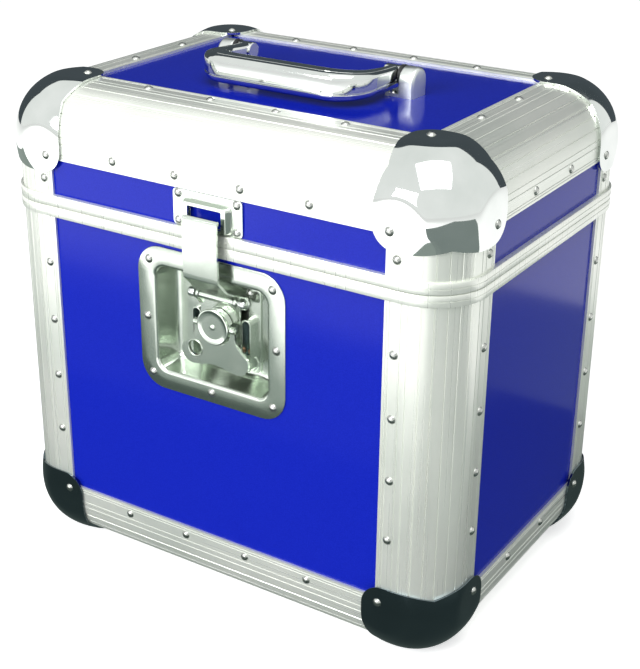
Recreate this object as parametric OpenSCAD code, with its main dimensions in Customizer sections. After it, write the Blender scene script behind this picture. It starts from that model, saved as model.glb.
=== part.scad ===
// Record carrying case for twelve-inch sleeves, with a hinged lid and a twist latch.
// Origin: centre of the footprint on the surface that it stands on. +X right, +Y back, +Z up.

/* [Case] */
// Width over the edge extrusions, left to right
case_w = 380; // [360:1:430]
// Depth over the edge extrusions, front to back
case_d = 275; // [250:1:340]
// Height over the edge extrusions
case_h = 371; // [360:1:400]
// Height of the lid over its edge extrusions, from the seam up
lid_h = 86.3; // [84:0.1:96]
// Gap between the closed rims
seam_gap = 0.3; // [0.3:0.1:0.6]

/* [Panels] */
// Thickness of the laminated panels
panel_t = 7; // [5:0.5:8]
// Thickness of the foam sheet on the floor
base_pad_t = 5; // [3:1:8]
// Thickness of the foam sheet under the top
lid_pad_t = 8; // [4:1:10]

/* [Edge extrusions] */
// Outer radius of the rounded edges
edge_r = 38; // [34:1:40]
// Width of each leg, measured from the outer face of the other leg
leg_w = 51; // [49:1:54]
// Wall of the outer skin
skin_t = 1.8; // [1.4:0.1:2.2]
// Wall of the inner legs and webs
web_t = 1.5; // [1.2:0.1:2]
// Distance from the corner to the square-cut end of an extrusion
edge_end = 52.3; // [52:0.1:54]
// Number of fine grooves round the curve
groove_count = 7; // [5:1:9]
// Depth of the fine grooves
groove_depth = 0.4; // [0.2:0.1:0.6]

/* [Rims] */
// Height of each rim
rim_h = 8.2; // [7:0.1:10]
// How far the rims stand proud of the extrusions
rim_proud = 2; // [1.5:0.1:2.5]
// Thickness of the rim's web
rim_web = 4.8; // [4.4:0.1:5.2]
// Depth of the groove in the body rim
groove_d = 3.3; // [3.1:0.1:3.6]
// Width of the groove in the body rim
groove_w = 3; // [2.6:0.1:3.2]
// Side clearance of the tongue in the groove
tongue_side = 0.6; // [0.4:0.1:0.7]
// Clearance under the tongue
tongue_end = 0.6; // [0.3:0.1:0.9]

/* [Ball corners] */
// Radius of the ball form
ball_r = 49.5; // [49:0.1:50]
// Distance of the ball's centre from each outer face
ball_c = 44; // [43.5:0.1:44.5]
// How far the flat pads stand proud of the faces
pad_proud = 2; // [1.9:0.1:2.3]
// Reach of a corner along its edges
corner_reach = 61; // [60:0.5:62]
// Thickness of the corner's skirt
skirt_t = 1.2; // [1:0.1:1.5]
// Radius of the corner outline on a face
pad_r = 17; // [16:0.5:17.5]

/* [Rivets] */
// Radius of a rivet head
head_r = 3.3; // [2.8:0.1:3.6]
// Height of a rivet head
head_h = 1.8; // [1.4:0.1:1.9]
// Radius of a rivet shank
shank_r = 1.6; // [1.4:0.1:1.8]
// Clearance round a shank
shank_gap = 0.05; // [0.05:0.01:0.1]
// Distance of the rivet rows from the outer faces
row_in = 43; // [42:0.5:44]
// Pitch of the rivets along the front and back
row_pitch = 54.4; // [48:0.1:56]
// Distance of the side rivets from the middle
side_rivet = 29; // [25:1:32]
// Distance of a body post's lowest rivet from the post's lower end
post_low_in = 47.4; // [40:0.1:50]
// Distance of a body post's highest rivet from the post's upper end
post_high_in = 37.3; // [30:0.1:45]

/* [Latch dish] */
// Width of the dish flange
dish_w = 126; // [120:1:132]
// Height of the dish flange
dish_h = 110; // [106:1:112]
// Distance of the dish's centre below the seam
dish_drop = 66.7; // [66:0.1:70]
// Corner radius of the flange
dish_corner = 20; // [16:1:22]
// Width of the recess mouth
mouth_w = 96.5; // [95:0.5:97]
// Height of the recess mouth
mouth_h = 81; // [80:1:82]
// Corner radius of the mouth
mouth_corner = 9; // [7:1:10]
// How far the walls draw in towards the floor
draft = 5; // [4:0.5:6]
// Depth of the recess
dish_depth = 20; // [20:0.5:22]
// Sheet thickness of the dish
dish_t = 1.2; // [1:0.1:1.5]

/* [Latch turn] */
// Height of the hub's centre above the dish's centre
hub_rise = 3; // [2:0.5:4]
// Radius of the hub's barrel
barrel_r = 11.5; // [11:0.5:12]
// Radius of the round hub cap
cap_r = 13.5; // [13:0.1:13.5]
// Radius of the hub post
post_r = 4; // [3.5:0.1:4.5]
// Running clearance of pins and posts
run_gap = 0.05; // [0.03:0.01:0.08]
// Thickness of the thumb turn
wing_t = 2.2; // [1.8:0.1:2.4]
// Radius of the padlock hole
lock_hole_r = 5.6; // [5:0.1:6]

/* [Draw hook] */
// Width of the hook arm
arm_w = 29; // [27:0.5:29]
// Sheet thickness of the hook arm
arm_t = 1.8; // [1.5:0.1:2]
// Radius of the cross shaft
shaft_r = 2; // [1.8:0.1:2.2]
// How far the drawbar moves in, and as far down, from open to locked
draw_in = 3.6; // [3.4:0.1:3.6]

/* [Keeper] */
// Width of the keeper plate
keeper_w = 58; // [56:1:62]
// Clearance between the keeper plate and the rim below it
keeper_low_gap = 0.3; // [0.2:0.1:0.6]
// Clearance between the keeper plate and the edge extrusion above it
keeper_high_gap = 0.5; // [0.3:0.1:1]
// Sheet thickness of the keeper plate
keeper_t = 1.5; // [1.2:0.1:1.8]
// Height of the keeper's bar in front of the lid panel
keeper_rise = 5.6; // [5.5:0.1:5.8]
// Thickness of the keeper's bar
bar_t = 1.2; // [1:0.1:1.4]

/* [Handle] */
// Height of the pivots above the top panel
pivot_h = 13.8; // [13:0.1:15]
// Length of the grip over the arms
grip_w = 136; // [130:1:138]
// Distance from the pivots to the front of the grip
grip_out = 63; // [60:1:66]
// Thickness of the grip
grip_t = 20; // [18:0.5:21]
// Radius of the bosses at the pivots
boss_r = 6.5; // [6:0.1:7]
// Radius of the handle pins
handle_pin_r = 3; // [2.5:0.1:3.5]
// Height of the handle mounts above the top panel
mount_h = 20.8; // [20:0.1:22]

/* [Hinges] */
// Distance of each hinge from the middle
hinge_x = 95; // [85:1:110]
// Width of a hinge
hinge_w = 60; // [50:1:70]
// Outer radius of the knuckles
knuckle_r = 4.2; // [4:0.1:4.2]
// Radius of the hinge pins
hinge_pin_r = 2; // [1.6:0.1:2.2]
// Distance of the hinge axis behind the extrusions
hinge_out = 6.6; // [6.6:0.1:7]

/* [Hidden] */
$fn = 48;
eps = 0.01;
base_z = pad_proud;
top_z = base_z + case_h;
seam_z = top_z - lid_h;
lid_z = seam_z + seam_gap;
half_w = case_w / 2;
half_d = case_d / 2;
slot = skin_t + panel_t;
inner = slot + web_t;
panel_gap = 0.2;
panel_in = edge_r + web_t - 1 + panel_gap;
grid = [-1.5, -0.5, 0.5, 1.5];
rivet_len = inner;
row_top = [for (i = grid) i * row_pitch];
row_side = [-side_rivet, side_rivet];
lid_post_z = lid_z + rim_h + 11.3;
face_y = -half_d + skin_t;
flange_y = face_y - dish_t;
zc = seam_z - dish_drop;
hub = zc + hub_rise;
floor_y = flange_y + dish_depth;
cap_t = 2.2;
cap_y = flange_y + 2;
barrel_y = cap_y + cap_t;
barrel_len = 7.3;
bearing_len = 4.1;
bar_plate_t = 1.5;
bar_plate_y = barrel_y + barrel_len + 0.5;
frame_t = 1.5;
frame_lo = hub - 35;
wing_y = barrel_y + 0.3;
wing_axis_y = wing_y + wing_t / 2;
wing_pin_r = 1.2;
shaft_y = flange_y + 10;
shaft_z = hub + 20;
knob_r = 4;
eye_r = 3.2;
bar_z = lid_z + rim_h + 4.1;
tip_gap = 0.3;
keeper_lo = lid_z + rim_h + keeper_low_gap;
keeper_hi = top_z - leg_w - keeper_high_gap;
keeper_h = keeper_hi - keeper_lo;
keeper_z = (keeper_lo + keeper_hi) / 2;
pivot_z = top_z - skin_t + pivot_h;
hinge_y = half_d + hinge_out;
leaf_t = 2;
leaf_gap = 0.2;
leaf_end_gap = 2.6;
leaf_len = top_z - leg_w - leaf_end_gap - lid_z - rim_h - leaf_gap;
leaf_rivet = leaf_len / 2 + leaf_t;
mid_off = (skin_t + slot) / 2;
body_lo = base_z + panel_in;
body_hi = seam_z - rim_web - panel_gap;
lid_lo = lid_z + rim_web + panel_gap;
lid_hi = top_z - panel_in;
body_post_lo = base_z + edge_end;
body_post_hi = seam_z - rim_h;
lid_post_lo = lid_z + rim_h;
lid_post_hi = top_z - edge_end;
post_run = body_post_hi - post_high_in - body_post_lo - post_low_in;
post_z = [for (i = [0:3]) body_post_lo + post_low_in + i * post_run / 3];
corner_rivet = ball_c + 4;
wing_hole_r = cap_r + 0.5;
wing_ear = 3.4;
panel_top = top_z - skin_t;
foot_t = 2.3;
boss_len = 12.5;
boss_in = grip_w / 2 - 11;
boss_out = boss_in + boss_len;
washer_t = 2.6;
side_play = 0.3;
mount_in = boss_out + side_play + washer_t;
mount_w = 12;
mount_d = 20;

// Mirrors a thing made at the left front to the side that the signs name
module to_side(sx, sy) {
    mirror([sx > 0 ? 1 : 0, 0, 0]) mirror([0, sy > 0 ? 1 : 0, 0]) children();
}

// Lays a thing made on the underside on the top instead
module upside(top) {
    translate([0, 0, top ? base_z + top_z : 0]) mirror([0, 0, top ? 1 : 0]) children();
}

// Square of side s with one corner rounded to radius r
module round_corner_square(s, r) {
    difference() {
        square(s);
        difference() {
            translate([-1, -1]) square(r + 1);
            translate([r, r]) circle(r);
        }
    }
}

// Rounded rectangle about the origin
module rounded_rect(w, h, r) {
    square([w - 2 * r, h], center = true);
    square([w, h - 2 * r], center = true);
    for (x = [-1, 1], y = [-1, 1]) translate([x * (w / 2 - r), y * (h / 2 - r)]) circle(r);
}

// Section of an edge extrusion, its outer corner at the origin and its legs along +X and +Y
module edge_section() {
    web_at = edge_r - 1;
    leg_end = leg_w - 3;
    difference() {
        round_corner_square(leg_w, edge_r);
        translate([skin_t, skin_t]) round_corner_square(leg_w, edge_r - skin_t);
        for (i = [0:groove_count - 1]) {
            a = 180 + 90 * (i + 0.5) / groove_count;
            translate([edge_r, edge_r]) rotate(a) translate([edge_r, 0]) groove();
        }
        for (v = [edge_r + 0.5, leg_w - 4.2, leg_w - 2.2]) {
            translate([0, v]) groove();
            translate([v, 0]) groove();
        }
    }
    web_far = web_at + web_t;
    polygon([[skin_t - 1, web_at], [slot, web_at], [web_at, slot], [web_at, skin_t - 1],
             [web_far, skin_t - 1], [web_far, slot], [leg_end, slot], [leg_end, inner],
             [web_far, inner], [inner, web_far], [inner, leg_end], [slot, leg_end],
             [slot, web_far], [skin_t - 1, web_far]]);
}

// Small notch with its point inwards
module groove() {
    circle(groove_depth * 1.4, $fn = 4);
}

// Round-head rivet from a face at z = 0, head up, shank down
module rivet(len) {
    ball = (head_r * head_r + head_h * head_h) / (2 * head_h);
    intersection() {
        translate([0, 0, head_h - ball]) sphere(ball);
        cylinder(r = head_r, h = head_h + 1);
    }
    translate([0, 0, -len]) cylinder(r = shank_r, h = len + 0.2);
    translate([0, 0, -len - 0.8]) cylinder(r = head_r * 0.8, h = 0.8);
}

module rivet_hole(len) {
    translate([0, 0, -len - 1]) cylinder(r = shank_r + shank_gap, h = len + 2);
}

// Places children on the front, left or under face, outwards along their +Z
module on_front(x, z, out = 0) {
    translate([x, -half_d - out, z]) rotate([90, 0, 0]) children();
}
module on_left(y, z, out = 0) {
    translate([-half_w - out, y, z]) rotate([0, -90, 0]) children();
}
module on_under(x, y) {
    translate([x, y, base_z]) rotate([180, 0, 0]) children();
}

// The rivet places of one front or back edge, made at the front of the underside
module front_row() {
    for (x = row_top) {
        on_front(x, base_z + row_in) children();
        on_under(x, -half_d + row_in) children();
    }
}

// The rivet places of one left or right edge, made at the left of the underside
module left_row() {
    for (y = row_side) {
        on_left(y, base_z + row_in) children();
        on_under(-half_w + row_in, y) children();
    }
}

// The rivet places of the left front post at the given heights
module post_row(heights) {
    for (z = heights) {
        on_front(-half_w + row_in, z) children();
        on_left(-half_d + row_in, z) children();
    }
}

// The three rivet places of the left front corner of the underside
module corner_row() {
    on_front(-half_w + corner_rivet, base_z + corner_rivet, pad_proud) children();
    on_left(-half_d + corner_rivet, base_z + corner_rivet, pad_proud) children();
}

module edge_rivets(top) {
    upside(top) {
        for (s = [-1, 1]) {
            to_side(-1, s) front_row() rivet(rivet_len);
            to_side(s, -1) left_row() rivet(rivet_len);
        }
        for (sx = [-1, 1], sy = [-1, 1]) to_side(sx, sy) corner_row() rivet(pad_proud + slot);
    }
}

// Panel standing across the case, from height z0 to z1, at the front
module front_board(z0, z1) {
    translate([-half_w + panel_in, face_y, z0]) cube([case_w - 2 * panel_in, panel_t, z1 - z0]);
}

// Panel standing along the case, from height z0 to z1, at the left
module left_board(z0, z1) {
    translate([-half_w + skin_t, -half_d + panel_in, z0])
        cube([panel_t, case_d - 2 * panel_in, z1 - z0]);
}

// Level panel on the underside
module level_board() {
    translate([-half_w + panel_in, -half_d + panel_in, base_z + skin_t])
        cube([case_w - 2 * panel_in, case_d - 2 * panel_in, panel_t]);
}

// Holes of every rivet that may cross the front board
module front_board_holes(heights) {
    for (s = [-1, 1]) to_side(s, -1) {
        for (z = heights) on_front(-half_w + row_in, z) rivet_hole(rivet_len);
        for (t = [false, true]) upside(t)
            on_front(-half_w + corner_rivet, base_z + corner_rivet) rivet_hole(rivet_len);
    }
    for (t = [false, true]) upside(t)
        for (x = row_top) on_front(x, base_z + row_in) rivet_hole(rivet_len);
}

module left_board_holes(heights) {
    for (s = [-1, 1]) to_side(-1, s) {
        for (z = heights) on_left(-half_d + row_in, z) rivet_hole(rivet_len);
        for (t = [false, true]) upside(t)
            on_left(-half_d + corner_rivet, base_z + corner_rivet) rivet_hole(rivet_len);
    }
    for (t = [false, true]) upside(t)
        for (y = row_side) on_left(y, base_z + row_in) rivet_hole(rivet_len);
}

module level_board_holes() {
    for (s = [-1, 1]) {
        to_side(-1, s) for (x = row_top) on_under(x, -half_d + row_in) rivet_hole(rivet_len);
        to_side(s, -1) for (y = row_side) on_under(-half_w + row_in, y) rivet_hole(rivet_len);
    }
}

module base_panel() {
    color("tan") difference() {
        level_board();
        level_board_holes();
    }
}

module front_panel() {
    color("mediumblue") difference() {
        front_board(body_lo, body_hi);
        front_board_holes(post_z);
        translate([0, face_y - 1, zc]) rotate([-90, 0, 0])
            linear_extrude(panel_t + 2)
                rounded_rect(mouth_w + 2 * dish_t + 1, mouth_h + 2 * dish_t + 1, mouth_corner + dish_t);
        dish_rivet_places() rivet_hole(rivet_len);
    }
}

module back_panel() {
    color("mediumblue") difference() {
        to_side(-1, 1) front_board(body_lo, body_hi);
        to_side(-1, 1) front_board_holes(post_z);
        hinge_rivet_places(-1) rivet_hole(rivet_len);
    }
}

module side_panel(s) {
    color("mediumblue") difference() {
        to_side(s, -1) left_board(body_lo, body_hi);
        to_side(s, -1) left_board_holes(post_z);
    }
}

module left_panel() {
    side_panel(-1);
}

module right_panel() {
    side_panel(1);
}

// Upright extrusion with its rivet holes
module post(sx, sy, z0, z1, heights) {
    color("gainsboro") to_side(sx, sy) difference() {
        translate([-half_w, -half_d, z0]) linear_extrude(z1 - z0) edge_section();
        post_row(heights) rivet_hole(rivet_len);
    }
}

module post_front_left() {
    post(-1, -1, body_post_lo, body_post_hi, post_z);
}

module post_front_right() {
    post(1, -1, body_post_lo, body_post_hi, post_z);
}

module post_back_left() {
    post(-1, 1, body_post_lo, body_post_hi, post_z);
}

module post_back_right() {
    post(1, 1, body_post_lo, body_post_hi, post_z);
}

// Extrusion along the front or back, with its rivet holes
module long_edge(sy, top) {
    run = half_w - edge_end;
    color("gainsboro") upside(top) to_side(-1, sy) difference() {
        translate([-run, -half_d, base_z]) rotate([90, 0, 90]) linear_extrude(2 * run) edge_section();
        front_row() rivet_hole(rivet_len);
    }
}

// Extrusion along the left or right, with its rivet holes
module short_edge(sx, top) {
    run = half_d - edge_end;
    color("gainsboro") upside(top) to_side(sx, -1) difference() {
        translate([-half_w, run, base_z]) rotate([90, 0, 0]) linear_extrude(2 * run) edge_section();
        left_row() rivet_hole(rivet_len);
    }
}

module base_edge_front() {
    long_edge(-1, false);
}

module base_edge_back() {
    long_edge(1, false);
}

module base_edge_left() {
    short_edge(-1, false);
}

module base_edge_right() {
    short_edge(1, false);
}

// Outline of the case moved out by d
module case_outline(d) {
    rounded_rect(case_w + 2 * d, case_d + 2 * d, edge_r + d);
}

// Channel of a rim with its web at the bottom
module rim_channel() {
    linear_extrude(rim_h) difference() {
        case_outline(rim_proud);
        case_outline(-inner);
    }
}

module rim_slot() {
    translate([0, 0, rim_web]) linear_extrude(rim_h) difference() {
        case_outline(-skin_t);
        case_outline(-slot);
    }
}

// Fine line round the middle of a rim's outer face
module rim_line() {
    translate([0, 0, rim_h / 2]) linear_extrude(0.5) difference() {
        case_outline(rim_proud + 1);
        case_outline(rim_proud - 0.3);
    }
}

module body_rim() {
    color("gainsboro") translate([0, 0, seam_z]) mirror([0, 0, 1]) difference() {
        rim_channel();
        rim_slot();
        rim_line();
        translate([0, 0, -1]) linear_extrude(groove_d + 1) difference() {
            case_outline(-mid_off + groove_w / 2);
            case_outline(-mid_off - groove_w / 2);
        }
    }
}

module lid_rim() {
    tongue = groove_w / 2 - tongue_side;
    depth = groove_d + seam_gap - tongue_end;
    color("gainsboro") translate([0, 0, lid_z]) {
        difference() {
            rim_channel();
            rim_slot();
            rim_line();
        }
        translate([0, 0, -depth]) linear_extrude(depth + 0.5) difference() {
            case_outline(-mid_off + tongue);
            case_outline(-mid_off - tongue);
        }
    }
}

// Solid with its outer corner at the origin and all three edges rounded to radius r
module round_corner_block(r, s) {
    for (m = [[0, 0, 0], [0, 90, 0], [-90, 0, 0]]) {
        translate([r, r, r]) rotate(m) cylinder(r = r, h = s - r);
    }
    translate([r, r, r]) sphere(r);
    translate([r, r, 0]) cube([s - r, s - r, s]);
    translate([r, 0, r]) cube([s - r, s, s - r]);
    translate([0, r, r]) cube([s, s - r, s - r]);
}

// Pressed corner, made with the case's corner at the origin
module ball_corner() {
    q = corner_reach;
    cut = q - ball_c;
    difference() {
        intersection() {
            union() {
                translate([ball_c, ball_c, ball_c]) sphere(ball_r);
                translate(-skirt_t * [1, 1, 1]) round_corner_block(edge_r + skirt_t, q + 3);
            }
            translate(-pad_proud * [1, 1, 1]) cube(q + pad_proud);
        }
        round_corner_block(edge_r, q + 5);
        for (m = [[0, 0, 0], [0, -90, -90], [90, 90, 0]]) rotate(m) {
            translate([0, 0, -pad_proud - 1]) linear_extrude(pad_proud + 6) difference() {
                translate([ball_c, ball_c]) square(cut + 1);
                translate([ball_c, ball_c]) circle(pad_r);
            }
        }
    }
}

module corner(sx, sy, top) {
    color(top ? "silver" : "dimgray") upside(top) to_side(sx, sy) difference() {
        translate([-half_w, -half_d, base_z]) ball_corner();
        corner_row() rivet_hole(rivet_len);
        if (top) top_corner_rivet() rivet_hole(rivet_len);
    }
}

// Place of the third rivet of a top corner, made on the underside
module top_corner_rivet() {
    translate([0, 0, -pad_proud]) on_under(-half_w + corner_rivet, -half_d + corner_rivet) children();
}

module base_corner_front_left() {
    corner(-1, -1, false);
}

module base_corner_front_right() {
    corner(1, -1, false);
}

module base_corner_back_left() {
    corner(-1, 1, false);
}

module base_corner_back_right() {
    corner(1, 1, false);
}

module base_pad() {
    color("dimgray") translate([-half_w + leg_w, -half_d + leg_w, base_z + slot])
        cube([case_w - 2 * leg_w, case_d - 2 * leg_w, base_pad_t]);
}

module body_rivets() {
    color("silver") {
        edge_rivets(false);
        for (sx = [-1, 1], sy = [-1, 1]) to_side(sx, sy) post_row(post_z) rivet(rivet_len);
        hinge_rivet_places(-1) rivet(leaf_t + panel_t);
    }
}

// The eight rivets round the dish flange, all on the front
module dish_rivet_places() {
    side_x = (dish_w + mouth_w) / 4;
    top_z_off = (dish_h + mouth_h) / 4;
    for (sx = [-1, 1]) {
        for (sz = [-1, 1]) dish_place(sx * (side_x - 3), sz * (top_z_off - 3.6)) children();
        dish_place(sx * side_x, 0) children();
    }
    for (sz = [-1, 1]) dish_place(0, sz * (top_z_off - 0.6)) children();
}

module dish_place(x, z) {
    translate([x, flange_y, zc + z]) rotate([90, 0, 0]) children();
}

// Tapered cup, made mouth down at z = 0 and floor up
module cup(grow, depth) {
    steps = [[0, 0], [depth, draft * depth / dish_depth]];
    r = mouth_corner + grow;
    hull() for (s = steps, x = [-1, 1], y = [-1, 1])
        translate([x * (mouth_w / 2 + grow - s[1] - r), y * (mouth_h / 2 + grow - s[1] - r), s[0]])
            cylinder(r = r, h = 0.01, $fn = 32);
}

module latch_dish() {
    color("gainsboro") difference() {
        translate([0, flange_y, zc]) rotate([-90, 0, 0]) difference() {
            union() {
                linear_extrude(dish_t) rounded_rect(dish_w, dish_h, dish_corner);
                cup(dish_t, dish_depth + dish_t);
            }
            translate([0, 0, -eps]) cup(0, dish_depth);
        }
        dish_rivet_places() rivet_hole(rivet_len);
        frame_rivet_places() rivet_hole(4);
    }
}

// The frame's four rivets: two below the drawbar's travel, two beside it
module frame_rivet_places() {
    for (s = [-1, 1], place = [[12.5, -17.5], [21, 25]])
        translate([s * place[0], floor_y - frame_t, hub + place[1]]) rotate([90, 0, 0]) children();
}

module dish_rivets() {
    color("silver") {
        dish_rivet_places() rivet(dish_t + panel_t);
        frame_rivet_places() rivet(frame_t + dish_t + 2 * eps);
    }
}

// Flat bracket on the dish floor, with the hub post
module latch_frame() {
    plate_w = 60;
    plate_hi = hub + 30;
    color("gainsboro") difference() {
        union() {
            translate([-plate_w / 2, floor_y - frame_t, frame_lo])
                cube([plate_w, frame_t, plate_hi - frame_lo]);
            translate([0, floor_y - 0.5, hub]) rotate([90, 0, 0])
                cylinder(r = post_r, h = floor_y - 0.5 - barrel_y - barrel_len + bearing_len - 0.3);
        }
        frame_rivet_places() rivet_hole(4);
    }
}

// Two upright channels on the bracket, open at the front
module guide_channels() {
    channel_in = 17.5;
    channel_w = 8;
    channel_h = 40;
    channel_out = 6;
    wall = 1;
    channel_y = floor_y - frame_t - channel_out;
    color("gainsboro") for (s = [-1, 1]) translate([s * (channel_in + channel_w / 2), channel_y, frame_lo + 2])
        difference() {
            translate([-channel_w / 2, 0, 0]) cube([channel_w, channel_out, channel_h]);
            translate([wall - channel_w / 2, -wall, wall])
                cube([channel_w - 2 * wall, channel_out, channel_h - 2 * wall]);
        }
}

module latch_rotor() {
    color("silver") difference() {
        translate([0, barrel_y + barrel_len, hub]) rotate([90, 0, 0]) cylinder(r = barrel_r, h = barrel_len);
        translate([0, barrel_y + barrel_len + 1, hub]) rotate([90, 0, 0])
            cylinder(r = post_r + run_gap, h = bearing_len + 1);
        for (s = [-1, 1]) wing_pin_place(s) cylinder(r = wing_pin_r, h = 20);
    }
}

// Round cap with a turned-down rim and a small centre rivet
module hub_cap() {
    color("silver") translate([0, barrel_y, hub]) rotate([90, 0, 0]) {
        cylinder(r = cap_r, h = cap_t - 0.7);
        translate([0, 0, cap_t - 0.7]) cylinder(r1 = cap_r, r2 = cap_r - 0.7, h = 0.7);
        translate([0, 0, cap_t]) cylinder(r1 = 2, r2 = 1.4, h = 0.6);
    }
}

module wing_pin_place(s) {
    translate([s * 7, wing_axis_y, hub]) rotate([0, s * 90, 0]) children();
}

module wing_pins() {
    ear_x = wing_hole_r + wing_ear;
    color("silver") for (s = [-1, 1]) wing_pin_place(s) {
        cylinder(r = wing_pin_r, h = ear_x - 7 + 0.3);
        translate([0, 0, ear_x - 7 + 0.3]) cylinder(r = wing_pin_r + 0.8, h = 0.8);
    }
}

// Outline of the folded thumb turn about the hub's centre
module wing_outline() {
    lobe_r = 9.5;
    lobe = [19.5, -23.5];
    difference() {
        union() {
            for (s = [-1, 1]) {
                translate([s * lobe[0], lobe[1]]) circle(lobe_r);
                translate([s > 0 ? wing_hole_r : -wing_hole_r - wing_ear, -14]) square([wing_ear, 14]);
            }
            polygon([[-wing_hole_r - wing_ear, -5], [-28.4, -20], [-19.5, -33], [19.5, -33],
                     [28.4, -20], [wing_hole_r + wing_ear, -5]]);
        }
        circle(wing_hole_r + 0.2);
        translate([0, -52]) circle(22);
        translate([-17, -20.5]) circle(lock_hole_r);
    }
}

module latch_wing() {
    color("gainsboro") difference() {
        union() {
            translate([0, wing_y + wing_t, hub]) rotate([90, 0, 0]) linear_extrude(wing_t) wing_outline();
            for (s = [-1, 1]) translate([s > 0 ? wing_hole_r : -wing_hole_r - wing_ear, wing_axis_y, hub])
                rotate([0, 90, 0]) cylinder(r = 2.6, h = wing_ear);
        }
        for (s = [-1, 1]) wing_pin_place(s) cylinder(r = wing_pin_r + run_gap, h = 20);
    }
}

module drawbar() {
    ear_in = arm_w / 2 + 0.7;
    ear_t = 2;
    ear_r = 4;
    plate_lo = hub - 9;
    plate_hi = shaft_z - eye_r - 0.5;
    color("silver") difference() {
        union() {
            translate([-ear_in - ear_t, bar_plate_y, plate_lo])
                cube([2 * (ear_in + ear_t), bar_plate_t, plate_hi - plate_lo]);
            for (s = [-1, 1]) translate([s > 0 ? ear_in : -ear_in - ear_t, 0, 0]) {
                translate([0, shaft_y - ear_r, shaft_z - ear_r])
                    cube([ear_t, bar_plate_y + bar_plate_t - shaft_y + ear_r, 2 * ear_r]);
                translate([0, bar_plate_y - 1, shaft_z - 2 * ear_r]) cube([ear_t, bar_plate_t + 1, ear_r + 1]);
            }
        }
        for (z = [0, draw_in]) translate([0, bar_plate_y + 5, hub + z]) rotate([90, 0, 0])
            cylinder(r = post_r + 1, h = 10);
        translate([-post_r - 1, bar_plate_y - 1, hub]) cube([2 * post_r + 2, bar_plate_t + 2, draw_in]);
        shaft_cylinder(shaft_r, 30);
    }
}

module shaft_cylinder(r, half) {
    translate([-half, shaft_y, shaft_z]) rotate([0, 90, 0]) cylinder(r = r, h = 2 * half);
}

module drawbar_shaft() {
    knob_in = arm_w / 2 + 4.5;
    color("gainsboro") {
        shaft_cylinder(shaft_r, knob_in + 5);
        for (s = [-1, 1]) translate([s * knob_in, shaft_y, shaft_z]) rotate([0, s * 90, 0]) {
            cylinder(r = knob_r, h = 4.5);
            translate([0, 0, 4.5]) cylinder(r1 = knob_r, r2 = knob_r - 1.5, h = 1.5);
        }
    }
}

// Bent draw arm: up from the shaft and out, straight up, then a tongue down and in over the bar
module catch_hook() {
    open_y = face_y - keeper_rise - tip_gap;
    arm_y = open_y - draw_in - 0.2;
    bend_z = shaft_z + shaft_y - arm_y;
    tip_z = bar_z + 2 * tip_gap + bar_t;
    arm_top = tip_z + open_y - arm_y;
    s = arm_t * sqrt(2);
    color("gainsboro") difference() {
        union() {
            translate([-arm_w / 2, 0, 0]) rotate([90, 0, 90]) linear_extrude(arm_w)
                polygon([[shaft_y, shaft_z + s / 2], [arm_y, bend_z + s / 2],
                         [arm_y, arm_top + s], [arm_y - arm_t, arm_top + s - arm_t],
                         [arm_y - arm_t, bend_z + arm_t - s / 2], [shaft_y, shaft_z - s / 2]]);
            translate([-arm_w / 2 + 1, 0, 0]) rotate([90, 0, 90]) linear_extrude(arm_w - 2)
                polygon([[arm_y - 0.5, arm_top + s - 0.5], [arm_y - 0.5, arm_top],
                         [arm_y, arm_top], [open_y, tip_z], [open_y, tip_z + s], [arm_y, arm_top + s]]);
            shaft_cylinder(eye_r, arm_w / 2);
        }
        shaft_cylinder(shaft_r + run_gap, 30);
    }
}

module top_panel() {
    color("mediumblue") upside(true) difference() {
        level_board();
        level_board_holes();
        for (sx = [-1, 1], sy = [-1, 1]) to_side(sx, sy) top_corner_rivet() rivet_hole(rivet_len);
        upside(true) mount_rivet_places() rivet_hole(panel_t + 4);
    }
}

module lid_front_panel() {
    color("mediumblue") difference() {
        front_board(lid_lo, lid_hi);
        front_board_holes([lid_post_z]);
        keeper_rivet_places() rivet_hole(rivet_len);
    }
}

module lid_back_panel() {
    color("mediumblue") difference() {
        to_side(-1, 1) front_board(lid_lo, lid_hi);
        to_side(-1, 1) front_board_holes([lid_post_z]);
        hinge_rivet_places(1) rivet_hole(rivet_len);
    }
}

module lid_side_panel(s) {
    color("mediumblue") difference() {
        to_side(s, -1) left_board(lid_lo, lid_hi);
        to_side(s, -1) left_board_holes([lid_post_z]);
    }
}

module lid_left_panel() {
    lid_side_panel(-1);
}

module lid_right_panel() {
    lid_side_panel(1);
}

module lid_post_front_left() {
    post(-1, -1, lid_post_lo, lid_post_hi, [lid_post_z]);
}

module lid_post_front_right() {
    post(1, -1, lid_post_lo, lid_post_hi, [lid_post_z]);
}

module lid_post_back_left() {
    post(-1, 1, lid_post_lo, lid_post_hi, [lid_post_z]);
}

module lid_post_back_right() {
    post(1, 1, lid_post_lo, lid_post_hi, [lid_post_z]);
}

module top_edge_front() {
    long_edge(-1, true);
}

module top_edge_back() {
    long_edge(1, true);
}

module top_edge_left() {
    short_edge(-1, true);
}

module top_edge_right() {
    short_edge(1, true);
}

module top_corner_front_left() {
    corner(-1, -1, true);
}

module top_corner_front_right() {
    corner(1, -1, true);
}

module top_corner_back_left() {
    corner(-1, 1, true);
}

module top_corner_back_right() {
    corner(1, 1, true);
}

// Foam sheet with pockets for the ends of the handle mounts' rivets
module lid_pad() {
    color("dimgray") difference() {
        translate([-half_w + leg_w, -half_d + leg_w, top_z - slot - lid_pad_t])
            cube([case_w - 2 * leg_w, case_d - 2 * leg_w, lid_pad_t]);
        mount_rivet_places() translate([0, 0, -foot_t - panel_t - 1.2]) cylinder(r = head_r, h = 2);
    }
}

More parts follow.
